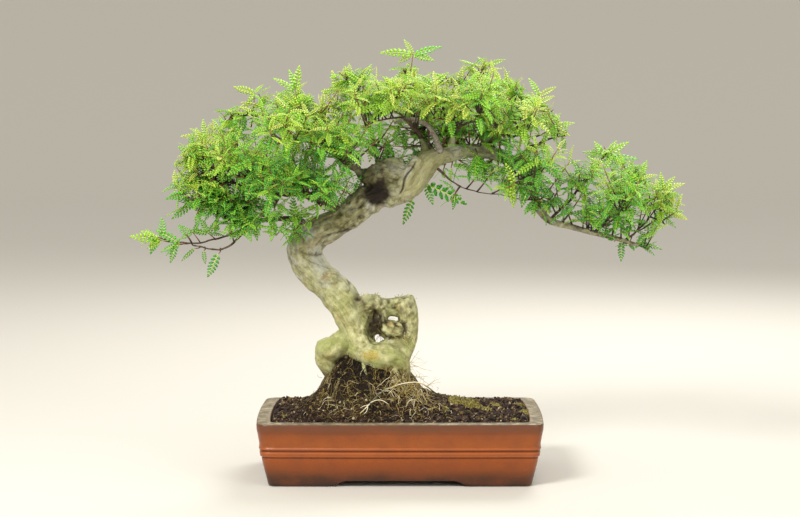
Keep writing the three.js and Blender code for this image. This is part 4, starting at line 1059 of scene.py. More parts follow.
def frontCrack(place, normal, wobble):
    # a wavy groove down the front, and how far each place is beside it
    x, y, z = place.T
    (x0, z0), (x1, z1) = bark["crack"]["from"], bark["crack"]["to"]
    length = math.hypot(x1 - x0, z1 - z0)
    share = ((x - x0) * (x1 - x0) + (z - z0) * (z1 - z0)) / length ** 2
    beside = ((x - x0) * (z1 - z0) - (z - z0) * (x1 - x0)) / length
    beside += 1.6 * np.sin(share * 9) + 0.8 * wobble
    crack = np.exp(-(beside / bark["crack"]["width"]) ** 2) * (normal[:, 1] < 0.2) * (y < 6)
    return crack * smoothStep(share, -0.05, 0.1) * smoothStep(-share, -1.05, -0.85), beside


def bendFolds(place, normal, wobble):
    # grooves along the fold lines of the front, each as deep as it is near to its line
    lines = [smoothPath([(x, 0, z, 1) for x, z in line], 1.0)[:, [0, 2]]
             for line in bark["folds"]["lines"]]
    away = np.linalg.norm(place[:, None, [0, 2]] - np.concatenate(lines), axis=2).min(axis=1)
    away += 0.7 * np.abs(wobble)
    pleat = np.exp(-(away / bark["folds"]["width"]) ** 2)
    return pleat * (normal[:, 1] < 0.3) * (place[:, 1] < 8)


def stainSpots(place, normal, wobble):
    # one column for each kind of stain: ragged ovals on the side that faces the front
    columns = []
    for spots in bark["stains"].values():
        column = np.zeros(len(place))
        for middleX, middleZ, halfX, halfZ, turn in spots:
            cos, sin = math.cos(math.radians(turn)), math.sin(math.radians(turn))
            x, z = place[:, 0] - middleX, place[:, 2] - middleZ
            spread = np.hypot((x * cos + z * sin) / halfX, (z * cos - x * sin) / halfZ)
            spot = 1 - smoothStep(spread + wobble, 0.5, 1.15)
            column = np.maximum(column, spot * (normal[:, 1] < 0.25))
        columns.append(column)
    return np.stack(columns, 1)


def fusedRods(paths, material):
    # the rods, the starts of the stout limbs and the surface roots, fused by a voxel remesh
    parts = [oneTube(path, 3, 24) for path in paths]
    starts = [[path[0], (*path[1][:3], path[1][3] * 0.7)]
              for path in limbs.values() if path[0][3] >= bark["stubFrom"]]
    parts += [oneTube(path, 3, 16) for path in starts]
    parts += [oneTube(surfaceRootPath(*root), 3, 12) for root in surfaceRoots]
    points, quads, caps = joinParts(parts)
    piece = meshPiece("trunkAndRoots", points, [quads, caps], material, ["tree"])
    fuse = piece.modifiers.new("fuse", "REMESH")
    fuse.mode = "VOXEL"
    fuse.voxel_size = bark["voxel"] / 1000
    soften = piece.modifiers.new("soften", "SMOOTH")
    soften.factor = 0.5
    soften.iterations = bark["smoothing"]
    bakeModifiers(piece)
    return piece.data, paths + starts


def makeTrunk(material):
    # the bark is raised along the normals of the fused rods: slow lumps, muscle-like ribs, fine
    # wrinkles that run along the wood, pores, and then the hollows, the crack and the folds
    mesh, rods = fusedRods([trunk, cascade, *rootsAndStubs.values(), *swellings.values()], material)
    place, normal = readPoints(mesh, "co") * 1000 - shift, readPoints(mesh, "normal")
    offset, walked, radius, heading = nearestOn(rods, place)
    along = np.sum(offset * heading, axis=1)
    across = offset - along[:, None] * heading
    run = walked + along
    size = np.clip(radius / 13, 0.2, 1.1)
    x, y, z = place.T
    # patterns
    lengthened = across / 2.2 + np.stack([run / 19, 0 * run, run / 23], 1)
    wrinkle = roughNoise(lengthened, 5, 2)
    lump = roughNoise(place / bark["lumpSize"], 9, 2)
    rib = roughNoise(across / 7 + run[:, None] / 60, 13, 1)
    fold = roughNoise(place / bark["foldSize"], 21, 3)
    pore = np.maximum(latticeNoise(place / bark["poreSize"], 33) - 0.4, 0)
    crease = np.exp(-(roughNoise(across / 16 + run[:, None] / 45, 71, 2) / 0.05) ** 2)
    crease *= smoothStep(z, 205, 235)
    # hollows
    (scar, scarLip), (stubHollowAndShadow, stubLip), (core, _) = (
        faceHollow(place, normal, bark[name], lump) for name in ("scar", "stubHollow", "core"))
    stumpTop, ring = bark["stumpTop"], bark["burlRing"]
    overStump = np.linalg.norm(place - stumpTop["at"], axis=1) / stumpTop["size"]
    rotted = smoothStep(normal[:, 2], 0.2, 0.7) * (1 - smoothStep(overStump, 0.5, 1.3))
    crack, beside = frontCrack(place, normal, lump)
    aroundBurl = frontOval(x, z, ring) - 1.05 - 0.12 * lump
    groove = (np.exp(-(aroundBurl / ring["width"]) ** 2) * (normal[:, 1] < 0.1) * (y < 2)
              * smoothStep(x, -20, -12))
    pleat = bendFolds(place, normal, fold)
    # regions
    base = 1 - smoothStep(z, 165, 235)
    callus, burl = frontBox(x, z, *bark["callus"]), frontBox(x, z, *bark["burl"])
    outer = smoothStep(x, 70, 130)
    # relief
    rough = 1 + 4 * callus + 1.6 * burl + 2.5 * outer - 0.5 * base * (1 - burl)
    rise = (bark["lumps"] * lump + bark["ribs"] * rib - bark["pores"] * pore
            + bark["wrinkles"] * (wrinkle + 0.9 * fold) * rough - bark["crease"] * crease) * size
    rise -= bark["folds"]["depth"] * pleat
    rise += bark["knobs"] * callus * latticeNoise(place / bark["knobSize"], 81)
    rise += bark["scar"]["lip"] * scarLip - bark["scar"]["depth"] * scar * (1 + 0.1 * wrinkle)
    rise += bark["stubHollow"]["lip"] * stubLip - bark["stubHollow"]["depth"] * stubHollowAndShadow
    rise -= bark["core"]["depth"] * core * (1 + wrinkle) + bark["crack"]["depth"] * crack
    rise -= stumpTop["depth"] * rotted * (1 + 0.4 * lump) + ring["depth"] * groove
    place += normal * rise[:, None]
    mesh.vertices.foreach_set("co", toFrame(place).astype(np.float32).ravel())
    # what the bark's material reads
    x, y, z = place.T
    panel = smoothStep(-beside, 0.5, 4) * smoothStep(z, 296, 306) * smoothStep(-x, -60, -44)
    # painted shade of the leaves and twigs over the callus, mottled by the folds and lumps
    shaded = frontBox(x, z, *bark["shade"]) * (1 - panel)
    # painted shade near the soil, reaching higher in the gap between the knee and the front root
    gap = 9 * np.exp(-((x + 44) / 13) ** 4) * (y > -14)
    sunk = 1 - smoothStep(z + 3 * lump - gap, 105, 117)
    # painted shade under the canopy on the upper left of the trunk
    upper = smoothStep(z, 250, 275) * (1 - smoothStep(x, -40, -10))
    # painted relief shade: lighter on raised wrinkles, lumps and folds, darker in pores, creases
    # and the scar
    pale = (0.55 + 0.16 * wrinkle + 0.14 * lump + 0.2 * fold - 0.6 * pore - 0.28 * crease
            - 0.3 * scar)
    # painted shadow in the hollow under the mossy stub: darkest at its top, fading downward
    stubHollowAndShadow *= 0.2 + 0.75 * smoothStep(z + 2 * lump, 183, 192)
    # the dark mask: rotted heartwood in the scar and on the stump's top; painted shade in the
    # scar's hollow, the core, the crack, the ring round the burl and the folds; the painted leaf
    # shade, the painted shade near the soil, under the stub, on the burl and on the upper trunk;
    # and a darker tone on the outer cascade
    rotAndPaintedShade = (1.05 * smoothStep(scar, 0.05, 0.85) + rotted + 0.9 * core + stubHollowAndShadow + crack
                + 0.6 * groove + 0.75 * pleat + shaded * (0.56 + 0.9 * fold + 0.5 * lump)
                + 0.85 * sunk + burl * (0.38 - 0.8 * fold) + outer * (0.3 - 0.4 * fold)
                + upper * (0.24 - 0.45 * fold - 0.25 * lump))
    storeMasks(mesh, np.clip(np.stack([pale, base, rotAndPaintedShade, panel], 1), 0, 1))
    storeMasks(mesh, stainSpots(place, normal, 0.3 * lump + 0.3 * fold), "stains")
    storeMasks(mesh, np.column_stack([across, run]), "grain")
    mesh.shade_smooth()
    print("trunk:", len(place), "points")


def pepperBark():
    # thin smooth bark over living wood: olive grey with fine wrinkles along it, green where algae
    # grow near the soil, ash-grey lichen, rust-brown knots, dark rotted heartwood in the scars, and
    # painted shade in the hollows, the crack, the folds, under the leaves and near the soil
    material, tree, _, speckle, umber, lichen, algae, knots = newMaterial(
        "olivePepperBark", {"Roughness": 0.72, "IOR": 1.45, "Specular IOR Level": 0.35},
        [(1.6, 4, 0.7), (26, 4, 0.6), (15, 5, 0.65), (22, 3, 0.5), (17, 2, 0.55)])
    paintedReliefShade, base, dark, smooth = readMasks(tree)
    ochre, ash, rust, olive = readMasks(tree, "stains")
    # the fibres are noise 1.8 mm wide and 15 mm long: the place across the rod, and the way
    # along it as the fourth coordinate
    grain = addNode(tree, "Attribute", out="Vector", attribute_name="grain")
    across = addNode(tree, "VectorMath", {0: grain, "Scale": 1 / 1.8}, operation="SCALE")
    run = addNode(tree, "Math", {0: grain.node.outputs["Alpha"], 1: 15}, operation="DIVIDE")
    fibre = addNode(tree, "TexNoise", {"Vector": across, "W": run, "Scale": 1.0, "Detail": 4,
                                       "Roughness": 0.62}, noise_dimensions="4D")
    umber, lichen, algae, knots = (
        addNode(tree, "ValToRGB", {0: pattern}, stops=[(low, 0.0), (high, most)])
        for pattern, low, high, most in ((umber, 0.47, 0.64, 0.6), (lichen, 0.5, 0.62, 0.75),
                                         (algae, 0.44, 0.64, 0.6), (knots, 0.66, 0.75, 0.5)))
    # how light each place is: 0.5 times the first mask, a painted relief shade (lighter on raised
    # wrinkles, lumps and folds, darker in pores, creases and the scar), + 0.3 fibre + 0.3 speckle
    light = addNode(tree, "Math", {0: paintedReliefShade, 1: 0.5}, operation="MULTIPLY")
    for pattern in (fibre, speckle):
        light = addNode(tree, "Math", {0: pattern, 1: 0.3, 2: light}, operation="MULTIPLY_ADD")
    above = addNode(tree, "Math", {0: base, 1: -0.8, 2: 1.0}, operation="MULTIPLY_ADD")
    olives, greens, umbers, ashes, stained, mossed, ochres, smooths, rotAndShadeTones = (
        addNode(tree, "ValToRGB", {0: share}, stops=stops)
        for share, stops in (
            (light, [(0.3, "413d29"), (0.46, "807d5c"), (0.58, "a19e79"), (0.74, "c0bd9a")]),
            (light, [(0.3, "4d4c28"), (0.46, "85824f"), (0.58, "a6a26e"), (0.74, "cbc698")]),
            (light, [(0.35, "2f2517"), (0.6, "7c6c4a")]),
            (light, [(0.35, "77746a"), (0.6, "b3b2a6")]),
            (light, [(0.35, "807f74"), (0.6, "bab9ad")]),
            (light, [(0.35, "4a4826"), (0.6, "8f8c55")]),
            (speckle, [(0.35, "8d7a30"), (0.6, "c6a94e")]),
            (fibre, [(0.3, "77724c"), (0.5, "938e64"), (0.7, "aba67b")]),
            (light, [(0.3, "140d06"), (0.52, "2a1f11"), (0.7, "584f34")])))
    # the last layer, the dark mask, is rotted heartwood and painted shade
    colour = layOver(tree, olives, [
        (base, 1.0, greens), (umber, above, umbers), (lichen, above, ashes),
        (algae, base, "8b9450"), (knots, 1.0, "b07a2c"), (ash, 0.6, stained),
        (olive, 0.5, mossed), (ochre, 0.6, ochres), (rust, 0.4, "86582f"),
        (smooth, 0.8, smooths), (dark, 1.0, rotAndShadeTones)])
    # the fibres are felt less on smooth wood and where the dark mask lies, on rotted wood and in
    # painted shade
    smoother, softer = (addNode(tree, "Math", {0: mask, 1: share}, operation="MULTIPLY")
                        for mask, share in ((smooth, 0.7), (dark, 0.9)))
    even = addNode(tree, "Math", {0: smoother, 1: softer}, operation="MAXIMUM")
    uneven = addNode(tree, "Math", {0: 1.0, 1: even}, operation="SUBTRACT")
    felt = addNode(tree, "Math", {0: fibre, 1: uneven}, operation="MULTIPLY")
    return linkFinish(material, colour, [(felt, 0.35), (speckle, 0.3)])


def makeLimbs(material):
    # rods a little crooked and knotty: each station is pushed sideways and swollen by slow noise
    parts, ages = [], []
    for number, path in enumerate(limbs.values()):
        stations = smoothPath(path, 2.2)
        place, radius = stations[:, :3].copy(), stations[:, 3].copy()
        walk = np.arange(len(stations)) / 5 + number * 31
        still = np.zeros(len(walk))
        sway = np.stack([latticeNoise(np.stack([walk, still, still + axis * 9], 1), number)
                         for axis in range(3)], 1)
        held = smoothStep(np.arange(len(stations)), 0, 6)[:, None]
        place += sway * held * np.clip(radius * 0.6, 1.2, 2.2)[:, None]
        knots = latticeNoise(np.stack([walk * 1.9, still, still], 1), number + 50)
        radius *= 0.52 + 0.2 * smoothStep(radius, 2.5, 6.5)
        radius *= 0.94 + 0.2 * knots + 0.22 * smoothStep(knots, 0.3, 0.5)
        sides = 12 if radius.max() > 3 else 8
        parts.append(tubes(place[None], radius[None], sides))
        age = np.clip(radius / 5, 0, 1)
        ages += [np.repeat(age, sides), age[[0, -1]]]
    points, quads, caps = joinParts(parts)
    meshPiece("limbs", points, [quads, caps], material, (),
              np.repeat(np.concatenate(ages)[:, None], 4, axis=1))


def limbBark(name, dead=False):
    # older limbs are grey-brown and knotty and turn darker to their ends; a dead one is bare and
    # bleached silver grey
    material, tree, _, fine, grain = newMaterial(
        name, {"Roughness": 0.8, "IOR": 1.45, "Specular IOR Level": 0.3},
        [(2.4, 6, 0.7), (1.3, 4, 0.7)])
    # bleached, or the thin ends and the old wood
    tones = ([("5b5248", "8f857a", "b5aca0")] if dead
             else [("231a13", "4b3b2e", "75634e"), ("3c3324", "6c5f47", "8b7f62")])
    colour, *old = (addNode(tree, "ValToRGB", {0: fine}, stops=list(zip((0.3, 0.5, 0.7), three)))
                    for three in tones)
    if old:
        age = addNode(tree, "ValToRGB", {0: readMasks(tree)[0]}, stops=[(0.3, 0.0), (0.75, 1.0)])
        colour = addNode(tree, "Mix", {0: age, 6: colour, 7: old[0]}, 2, data_type="RGBA")
    return linkFinish(material, colour, [(grain, 0.3)])


def makeDeadLimb(material):
    points, quads, caps, _ = oneTube(deadLimb, 1.6, 10)
    points += 0.35 * np.stack([latticeNoise(points / 4, seed) for seed in (3, 4, 5)], 1)
    meshPiece("deadLimb", points, [quads, caps], material)


makeTrunk(pepperBark())
makeLimbs(limbBark("knottyLimbBark"))
makeDeadLimb(limbBark("bleachedDeadwood", True))
print("wood: trunk, roots and limbs")


# Foliage: the limb each spray grows on, where its head is, its heading and pitch, and the share
# along the limb where it starts, unless that is the place nearest to its head

sprays = {
    "farTip": ("farLeft", (-265, 0, 256), 180, 12),
    "farLow": ("lowLeft", (-222, -30, 262), 215, 0),
    "leftEnd": ("midLeft", (-224, -22, 339), 170, 38),
    "leftLow": ("midLeft", (-214, 2, 296), 190, 15, 0.86),
    "upLeft": ("highLeft", (-185, 6, 379), 165, 45),
    "leftFront": ("midLeftFront", (-168, -60, 322), 225, 25),
    "highEnd": ("highLeft", (-144, 6, 408), 150, 55),
    "leftBrow": ("highLeftFront", (-128, -78, 356), 240, 25),
    "frontLow": ("midLeftFront", (-130, -64, 290), 260, 0),
    "frontSkirt": ("midLeftFront", (-84, -52, 290), 290, 10),
    "highMid": ("highLeft", (-101, 0, 408), 60, 60),
    "backLeft": ("midLeftBack", (-188, 74, 348), 135, 30),
    "backHigh": ("highLeftBack", (-122, 82, 379), 105, 35),
    "backLow": ("midLeftBack", (-150, 60, 298), 100, 5),
    "lowMid": ("lowLeft", (-166, -30, 282), 200, 20),
    "crownLeft": ("crownLeft", (-58, 4, 424), 160, 60),
    "crownMid": ("crown", (-20, 8, 432), 40, 60, 0.72),
    "crown": ("crown", (6, 12, 447), 100, 88),
    "crownRight": ("crownRight", (46, 6, 424), 120, 55),
    "crownEnd": ("crownRight", (87, 0, 434), 30, 55),
    "shoulderTop": ("shoulder", (120, 6, 411), 70, 50),
    "shoulderEnd": ("shoulder", (156, 6, 397), 5, 30),
    "faceLeft": ("crownFront", (-36, -54, 374), 230, 20, 0.75),
    "faceMid": ("crownFront", (-6, -74, 400), 270, 40),
    "faceRight": ("crownRightFront", (34, -48, 382), 250, 25),
    "faceEnd": ("crownRightFront", (82, -70, 388), 290, 30),
    "faceShoulder": ("shoulderFront", (130, -52, 368), 300, 20),
    "rightEnd": ("rightShoulder", (173, 2, 367), 355, 30),
    "backCrown": ("crownBack", (24, 92, 394), 90, 35),
    "backShoulder": ("shoulderBack", (99, 76, 392), 75, 30),
    "scarSkirt": ("highLeftFront", (-54, -56, 334), 250, 0),
    "rightFall": ("rightFront", (144, -52, 321), 315, 10),
    "hanging": ("scarTwig", (56, -16, 298), 255, -20),
    "lowTip": ("scarTwig", (146, -16, 296), 320, 0),
    "cascadeTop": ("cascadeRise", (221, 6, 353), 60, 50),
    "cascadeLow": ("cascadeRise", (200, -12, 300), 250, 25),
    "cascadeHead": ("cascadeHead", (259, 10, 322), 80, 45),
    "tipHead": ("cascadeTip", (280, 2, 298), 0, 35),
    "cascadeFace": ("cascadeFront", (234, -50, 287), 285, 15),
    "tipLow": ("cascadeTip", (278, -12, 270), 340, 5),
    "tipFall": ("cascade", (262, 2, 244), 330, -15),
    "cascadeRear": ("cascadeBack", (252, 56, 293), 80, 25),
}

foliage = {
    "length": 25, "pairs": 7, "stalk": 0.1, "leafletLength": 0.2, "leafletWidth": 0.056,
    "arch": 0.45, "roll": 0.25,
    "sideShoots": 9, "shootLength": 42, "leavesOnShoot": 9, "leavesOnTwig": 9,
    "limbShootEvery": 15, "leavesOnLimbShoot": 8, "leafEvery": 2.4,
    "divergence": 137.5,  # degrees from one leaf to the next round the shoot
    "margin": 1.5,  # how far shoots keep inside the measured box
    # sprays with fewer side shoots, and limbs without shoots of their own
    "sparse": {
        "farTip": 0.05, "farLow": 0.05, "lowMid": 0.6, "hanging": 0.05, "lowTip": 0.5,
        "tipFall": 0.5, "rightFall": 0.6, "cascadeLow": 0.6, "tipLow": 0.6, "cascadeTop": 0.4,
        "rightEnd": 0.7, "tipHead": 0.7, "cascadeHead": 0.8, "cascadeRear": 0.8
    },
    "bareLimbs": ("scarTwig", "farLeft", "lowLeft"),
    # where leaves hang or fill between limbs: limb, first and last share along it, how many,
    # aim, length
    "fillers": [
        ("lowLeft", 0.08, 0.5, 12, (-0.2, -0.8, -0.05), 36),
        ("lowLeft", 0.45, 0.7, 6, (-0.3, -0.5, 0.5), 30),
        ("highLeft", 0.35, 1.0, 11, (0.1, -0.6, -0.15), 30),
        ("midLeft", 0.3, 0.9, 9, (0.1, 0.2, 1), 36), ("highLeft", 0.2, 0.6, 8, (0.3, 0.4, 1), 50),
        ("midLeft", 0.85, 1.0, 4, (-0.6, -0.2, -0.6), 30),
        ("trunk", 0.93, 1.0, 5, (0.2, 0.7, 1), 48), ("cascade", 0.0, 0.3, 9, (0.1, 0.5, 1), 46),
        ("crownRight", 0.1, 0.5, 5, (-0.7, 0.4, 0.5), 30),
        ("cascade", 0.55, 0.8, 6, (0.2, -0.1, 1), 34),
        ("trunk", 0.6, 0.78, 7, (-0.3, 0.6, 0.6), 40),
        ("cascade", 0.02, 0.25, 9, (0, 0.9, 0.6), 42),
        ("cascade", 0.22, 0.5, 10, (0.1, -0.4, -0.5), 26),
        ("crown", 0.02, 0.35, 6, (-0.6, 0.6, 0.3), 38),
        ("crownLeft", 0.05, 0.5, 9, (0.5, 0.6, 0.2), 38),
        ("cascade", 0.8, 0.98, 7, (-0.2, -0.5, -0.4), 24),
        ("rightShoulder", 0.1, 0.7, 6, (0.1, 0.1, -0.5), 28),
        ("cascade", 0.05, 0.3, 9, (0.1, 0.3, -0.8), 26),
        ("scarTwig", 0.4, 0.9, 4, (0.5, 0, 0.5), 24),
        ("midLeft", 0.1, 0.5, 7, (-0.1, 0.3, 1), 44),
        ("highLeft", 0.55, 0.85, 6, (0.35, 0.1, 1), 52),
        ("midLeft", 0.8, 1.0, 8, (-0.1, 0.5, -0.8), 38),
        ("rightFront", 0.4, 1.0, 6, (-0.1, 0.2, -0.8), 28),
        ("cascade", 0.5, 0.68, 6, (0.3, 0.1, -0.2), 20),
        ("cascade", 0.72, 0.95, 10, (0.1, -0.2, 1), 26),
        ("cascade", 0.0, 0.25, 9, (0.2, -0.3, 1), 30),
        ("lowLeftRise", 0.15, 1.0, 9, (-0.6, 0.1, 0.4), 26),
        ("lowLeftRise", 0.25, 1.0, 6, (-0.2, -0.3, -0.5), 20),
        ("lowLeftRise", 0.2, 1.0, 7, (0.4, 0, 0.7), 24),
        ("crownLeft", 0.8, 1.0, 6, (-0.8, 0, 0.1), 26),
        ("crown", 0.1, 0.5, 6, (0.2, 0.9, 0.2), 34), ("shoulder", 0.6, 1.0, 6, (0.1, 0, 1), 26),
        ("midLeft", 0.9, 1.0, 5, (0.1, 0.2, 1), 48),
        ("crownLeft", 0.7, 1.0, 5, (0.3, 0.1, 1), 24),
        ("crownBack", 0.35, 0.95, 5, (-0.9, 0.1, 0.2), 38),
        ("crownBack", 0.35, 0.95, 4, (0.9, 0.1, 0.2), 34),
        ("shoulderBack", 0.3, 0.95, 4, (-0.8, 0.1, 0.3), 34),
        ("shoulderBack", 0.3, 0.9, 4, (0.9, 0.1, 0), 30),
        ("highLeftBack", 0.5, 1.0, 5, (0.9, 0.2, 0.1), 38)
    ],
    # shoots that stand out of the canopy and single hanging leaves: foot and tip of the stem, as
    # x and z, how far back it stands, and where the leaves at its tip end
    "accents": [
        ((5, 410), (14, 452), 10, [(-21, 459), (5, 469), (44, 464), (37, 447), (-4, 444)]),
        ((-110, 384), (-112, 414), 2,
            [(-134, 429), (-106, 440), (-100, 424), (-130, 411), (-116, 436)]),
        ((-160, 374), (-156, 411), 4, [(-179, 418), (-168, 394), (-146, 420)]),
        ((-194, 338), (-208, 364), -4, [(-235, 367), (-211, 384), (-228, 352), (-222, 376)]),
        ((-204, 330), (-214, 340), -20, [(-235, 356), (-240, 337)]),
        ((-206, 312), (-218, 318), -20, [(-246, 316), (-240, 302), (-236, 328)]),
        ((-206, 290), (-222, 292), -12, [(-254, 285), (-246, 278), (-242, 303)]),
        ((-232, 250), (-240, 249), -4, [(-258, 241), (-247, 229)]),
        ((-214, 247), (-220, 245), -8, [(-235, 233)]),
        ((54, 408), (79, 441), 4, [(63, 448), (88, 449), (98, 436), (66, 434)]),
        ((84, 425), (93, 440), 8, [(112, 448), (84, 450)]),
        ((136, 388), (146, 399), 4, [(165, 410), (160, 396)]),
        ((146, 364), (162, 374), 2, [(186, 382), (182, 366), (172, 390)]),
        ((196, 316), (220, 343), 4, [(209, 360), (244, 361), (258, 346), (196, 350), (242, 335)]),
        ((262, 290), (282, 307), 4, [(307, 316), (296, 322), (304, 300), (280, 326)]),
        ((256, 262), (280, 280), 2, [(304, 286), (300, 268), (296, 296)]),
        ((240, 250), (257, 250), 0, [(283, 246), (276, 238)]),
        ((236, 256), (238, 252), -3, [(237, 230)]),
        ((-244, 251), (-256, 253), -2, [(-290, 261), (-276, 266), (-274, 244)]),
        ((-226, 250), (-236, 250), -4, [(-262, 266), (-254, 238)]),
        ((-214, 250), (-222, 262), -8, [(-238, 272), (-214, 277), (-236, 256), (-208, 264)]),
        ((-197, 254), (-205, 261), -9, [(-224, 266), (-196, 277), (-213, 279), (-188, 262)]),
        ((-192, 246), (-194, 240), -18, [(-206, 213)]),
        ((-209, 247), (-210, 243), -14, [(-209, 228)]),
        ((24, 318), (28, 313), 10, [(36, 289), (74, 293)]),
        ((10, 304), (14, 297), 12, [(2, 269)]),
        ((-32, 398), (-45, 427), 6, [(-66, 437), (-34, 440), (-28, 428)]),
        ((24, 398), (34, 420), -20, [(52, 433), (20, 432)]),
        ((-70, 398), (-66, 412), 2, [(-52, 432), (-72, 436), (-84, 414)]),
        ((140, 400), (150, 408), 14, [(168, 418), (140, 428)]),
        ((80, 352), (82, 345), -14, [(78, 318), (87, 322), (92, 334), (72, 330)]),
    ],
    "seed": 23,
    # the canopy's outline from the front, as x and z: nothing grows above the first or below the
    # second
    "crownLine": [
        (-300, 262), (-266, 268), (-254, 296), (-243, 336), (-222, 365), (-205, 380), (-188, 386),
        (-165, 400), (-140, 412), (-112, 414), (-97, 406), (-82, 410), (-72, 430), (-62, 438),
        (-30, 441), (-20, 424), (-6, 426), (10, 440), (30, 434), (42, 428), (58, 430), (68, 444),
        (101, 443), (125, 424), (155, 402), (176, 375), (193, 343), (204, 352), (236, 352),
        (247, 342), (262, 332), (275, 319), (290, 311), (304, 308)
    ],
    "skirtLine": [
        (-300, 240), (-234, 240), (-226, 262), (-194, 264), (-178, 252), (-118, 252), (-75, 274),
        (-43, 284), (0, 262), (28, 268), (44, 282), (74, 291), (92, 291), (102, 286), (118, 276),
        (140, 276), (165, 280), (180, 274), (206, 264), (218, 255), (240, 246), (256, 241),
        (266, 248), (280, 260), (304, 278)
    ],
}
stationShares = np.linspace(0, 1, 7)  # the stations of each shoot


def underCrown(x):
    return np.interp(x, *np.array(foliage["crownLine"], float).T)


def overSkirt(x):
    return np.interp(x, *np.array(foliage["skirtLine"], float).T)


def leafTemplate():
    # a straight compound leaf of unit length: columns are the place along the rib, sideways and
    # up. Each leaflet is a five-cornered blade with a blunt tip, folded down to both sides and
    # closed underneath, and rolled a little, so that it shingles over the next one. The rib is a
    # thin wedge with three stations.
    stalk = foliage["stalk"]
    outline = np.array([(0, 0), (0.38, 1), (0.92, 0.5), (0.92, -0.5), (0.38, -1)])
    blade = np.array([[0, 4, 3], [0, 3, 2], [0, 2, 1], [0, 1, 4], [1, 2, 3], [1, 3, 4]])
    # leaflets: foot, hand, slant, and how long and wide they are beside the usual one
    leaflets = []
    for share in np.linspace(0, 1, foliage["pairs"]):
        foot = stalk + (0.86 - stalk) * share
        slant = math.radians(66 - 24 * share)
        length = (0.8 + 0.5 * math.sin(math.pi * share * 0.9)) * (1 - 0.62 * share ** 2)
        for hand in (1, -1):
            leaflets.append((foot + 0.012 * hand, hand, slant, length, 1 - 0.3 * share ** 2))
    leaflets.append((0.87, 0, 0.0, 0.62, 0.8))
    points, faces = [], []
    for foot, hand, slant, long, wide in leaflets:
        length, width = foliage["leafletLength"] * long, foliage["leafletWidth"] * wide
        ahead = np.array([math.cos(slant), math.sin(slant) * hand])
        aside = np.array([-ahead[1], ahead[0]])
        flat = [foot, 0] + outline[:, :1] * length * ahead + outline[:, 1:] * width * aside
        arched = -foliage["arch"] * np.abs(outline[:, 1]) + foliage["roll"] * hand * outline[:, 1]
        faces.append(blade + 5 * len(points))
        points.append(np.column_stack([flat, width * arched]))
    blades = 5 * len(points)
    place = np.array([0, 0.45, 0.92])
    half, deep = 0.017 * (1 - 0.55 * place), 0.03 * (1 - 0.5 * place)
    rib = np.stack([place, half, 0 * place, place, -half, 0 * place, place, 0 * place, -deep], 1)
    ribFaces = np.concatenate([gridQuads(3, 3)[:, [0, 1, 2]], gridQuads(3, 3)[:, [0, 2, 3]],
                               [[0, 2, 1], [6, 7, 8]]])
    vein = np.append(np.tile(1 - np.abs(outline[:, 1]), len(points)), np.zeros(9))
    points = np.concatenate([*points, rib.reshape(-1, 3)])
    faces = np.concatenate([*faces, ribFaces + blades])
    return points, faces, vein, np.arange(len(points)) >= blades


leafShape = leafTemplate()


def growLeaves(base, along, side, length, droop, lift, tone, shadow):
    # each leaf is the template bent down along an arc: a place u along the rib lies at
    # sin(bend u) / bend ahead and (cos(bend u) - 1) / bend up, and sideways parts rise by lift
    shape, _, vein, rib = leafShape
    up = np.cross(along, side)
    u, wide, high = shape.T
    bend = droop[:, None] * u
    ahead = (np.sin(bend) / droop[:, None])[..., None]
    down = ((np.cos(bend) - 1) / droop[:, None])[..., None]
    raised = (high + lift[:, None] * np.abs(wide) - 0.35 * wide ** 2)[..., None]
    along, up, side = along[:, None], up[:, None], side[:, None]
    localUp = np.cos(bend)[..., None] * up + np.sin(bend)[..., None] * along
    points = ahead * along + down * up + wide[:, None] * side + raised * localUp
    masks = np.empty((len(base), len(shape), 4))
    for column, values in enumerate((tone[:, None], vein, rib, shadow[:, None])):
        masks[..., column] = values
    return base[:, None] + points * length[:, None, None], masks


def headingVector(heading, pitch):
    a, b = np.radians(heading), np.radians(pitch)
    return np.stack([np.cos(b) * np.cos(a), np.cos(b) * np.sin(a), np.sin(b)], -1)


def bezier(start, bend, end, shares):
    # quadratic curve: (1-t)^2 start + 2t(1-t) bend + t^2 end
    t = shares[:, None]
    return (1 - t) ** 2 * start + 2 * t * (1 - t) * bend + t ** 2 * end


def limbLine(name, spacing):
    path = {"cascade": cascade, "trunk": trunk}.get(name) or limbs[name]
    return smoothPath(path, spacing)[:, :3]


def footAt(name, share):
    line = limbLine(name, 1.5)
    return line[int(share * (len(line) - 1))]


def insideBox(points, margin):
    low, high = (np.array(corner) * 1000 - shift for corner in cadBox)
    return np.clip(points, low + margin, high - margin)


def curvedShoot(foot, aim, length):
    # it leaves along its aim and bends up towards the light, and is shorter near the canopy's edge
    for share in (1, 0.8, 0.6, 0.45, 0.3, 0.2):
        end = foot + aim * length * share + [0, 0, 0.14 * length * share]
        inCanopy = overSkirt(end[0]) + 3 < end[2] < underCrown(end[0]) - 9
        if inCanopy and (end == insideBox(end, 9)).all():
            break
    bend = foot + aim * length * share * 0.5
    return insideBox(bezier(foot, bend, end, stationShares), foliage["margin"])


# Each shoot is its stations, its radius at the foot, how many leaves it can carry, and the share
# of its length where they begin

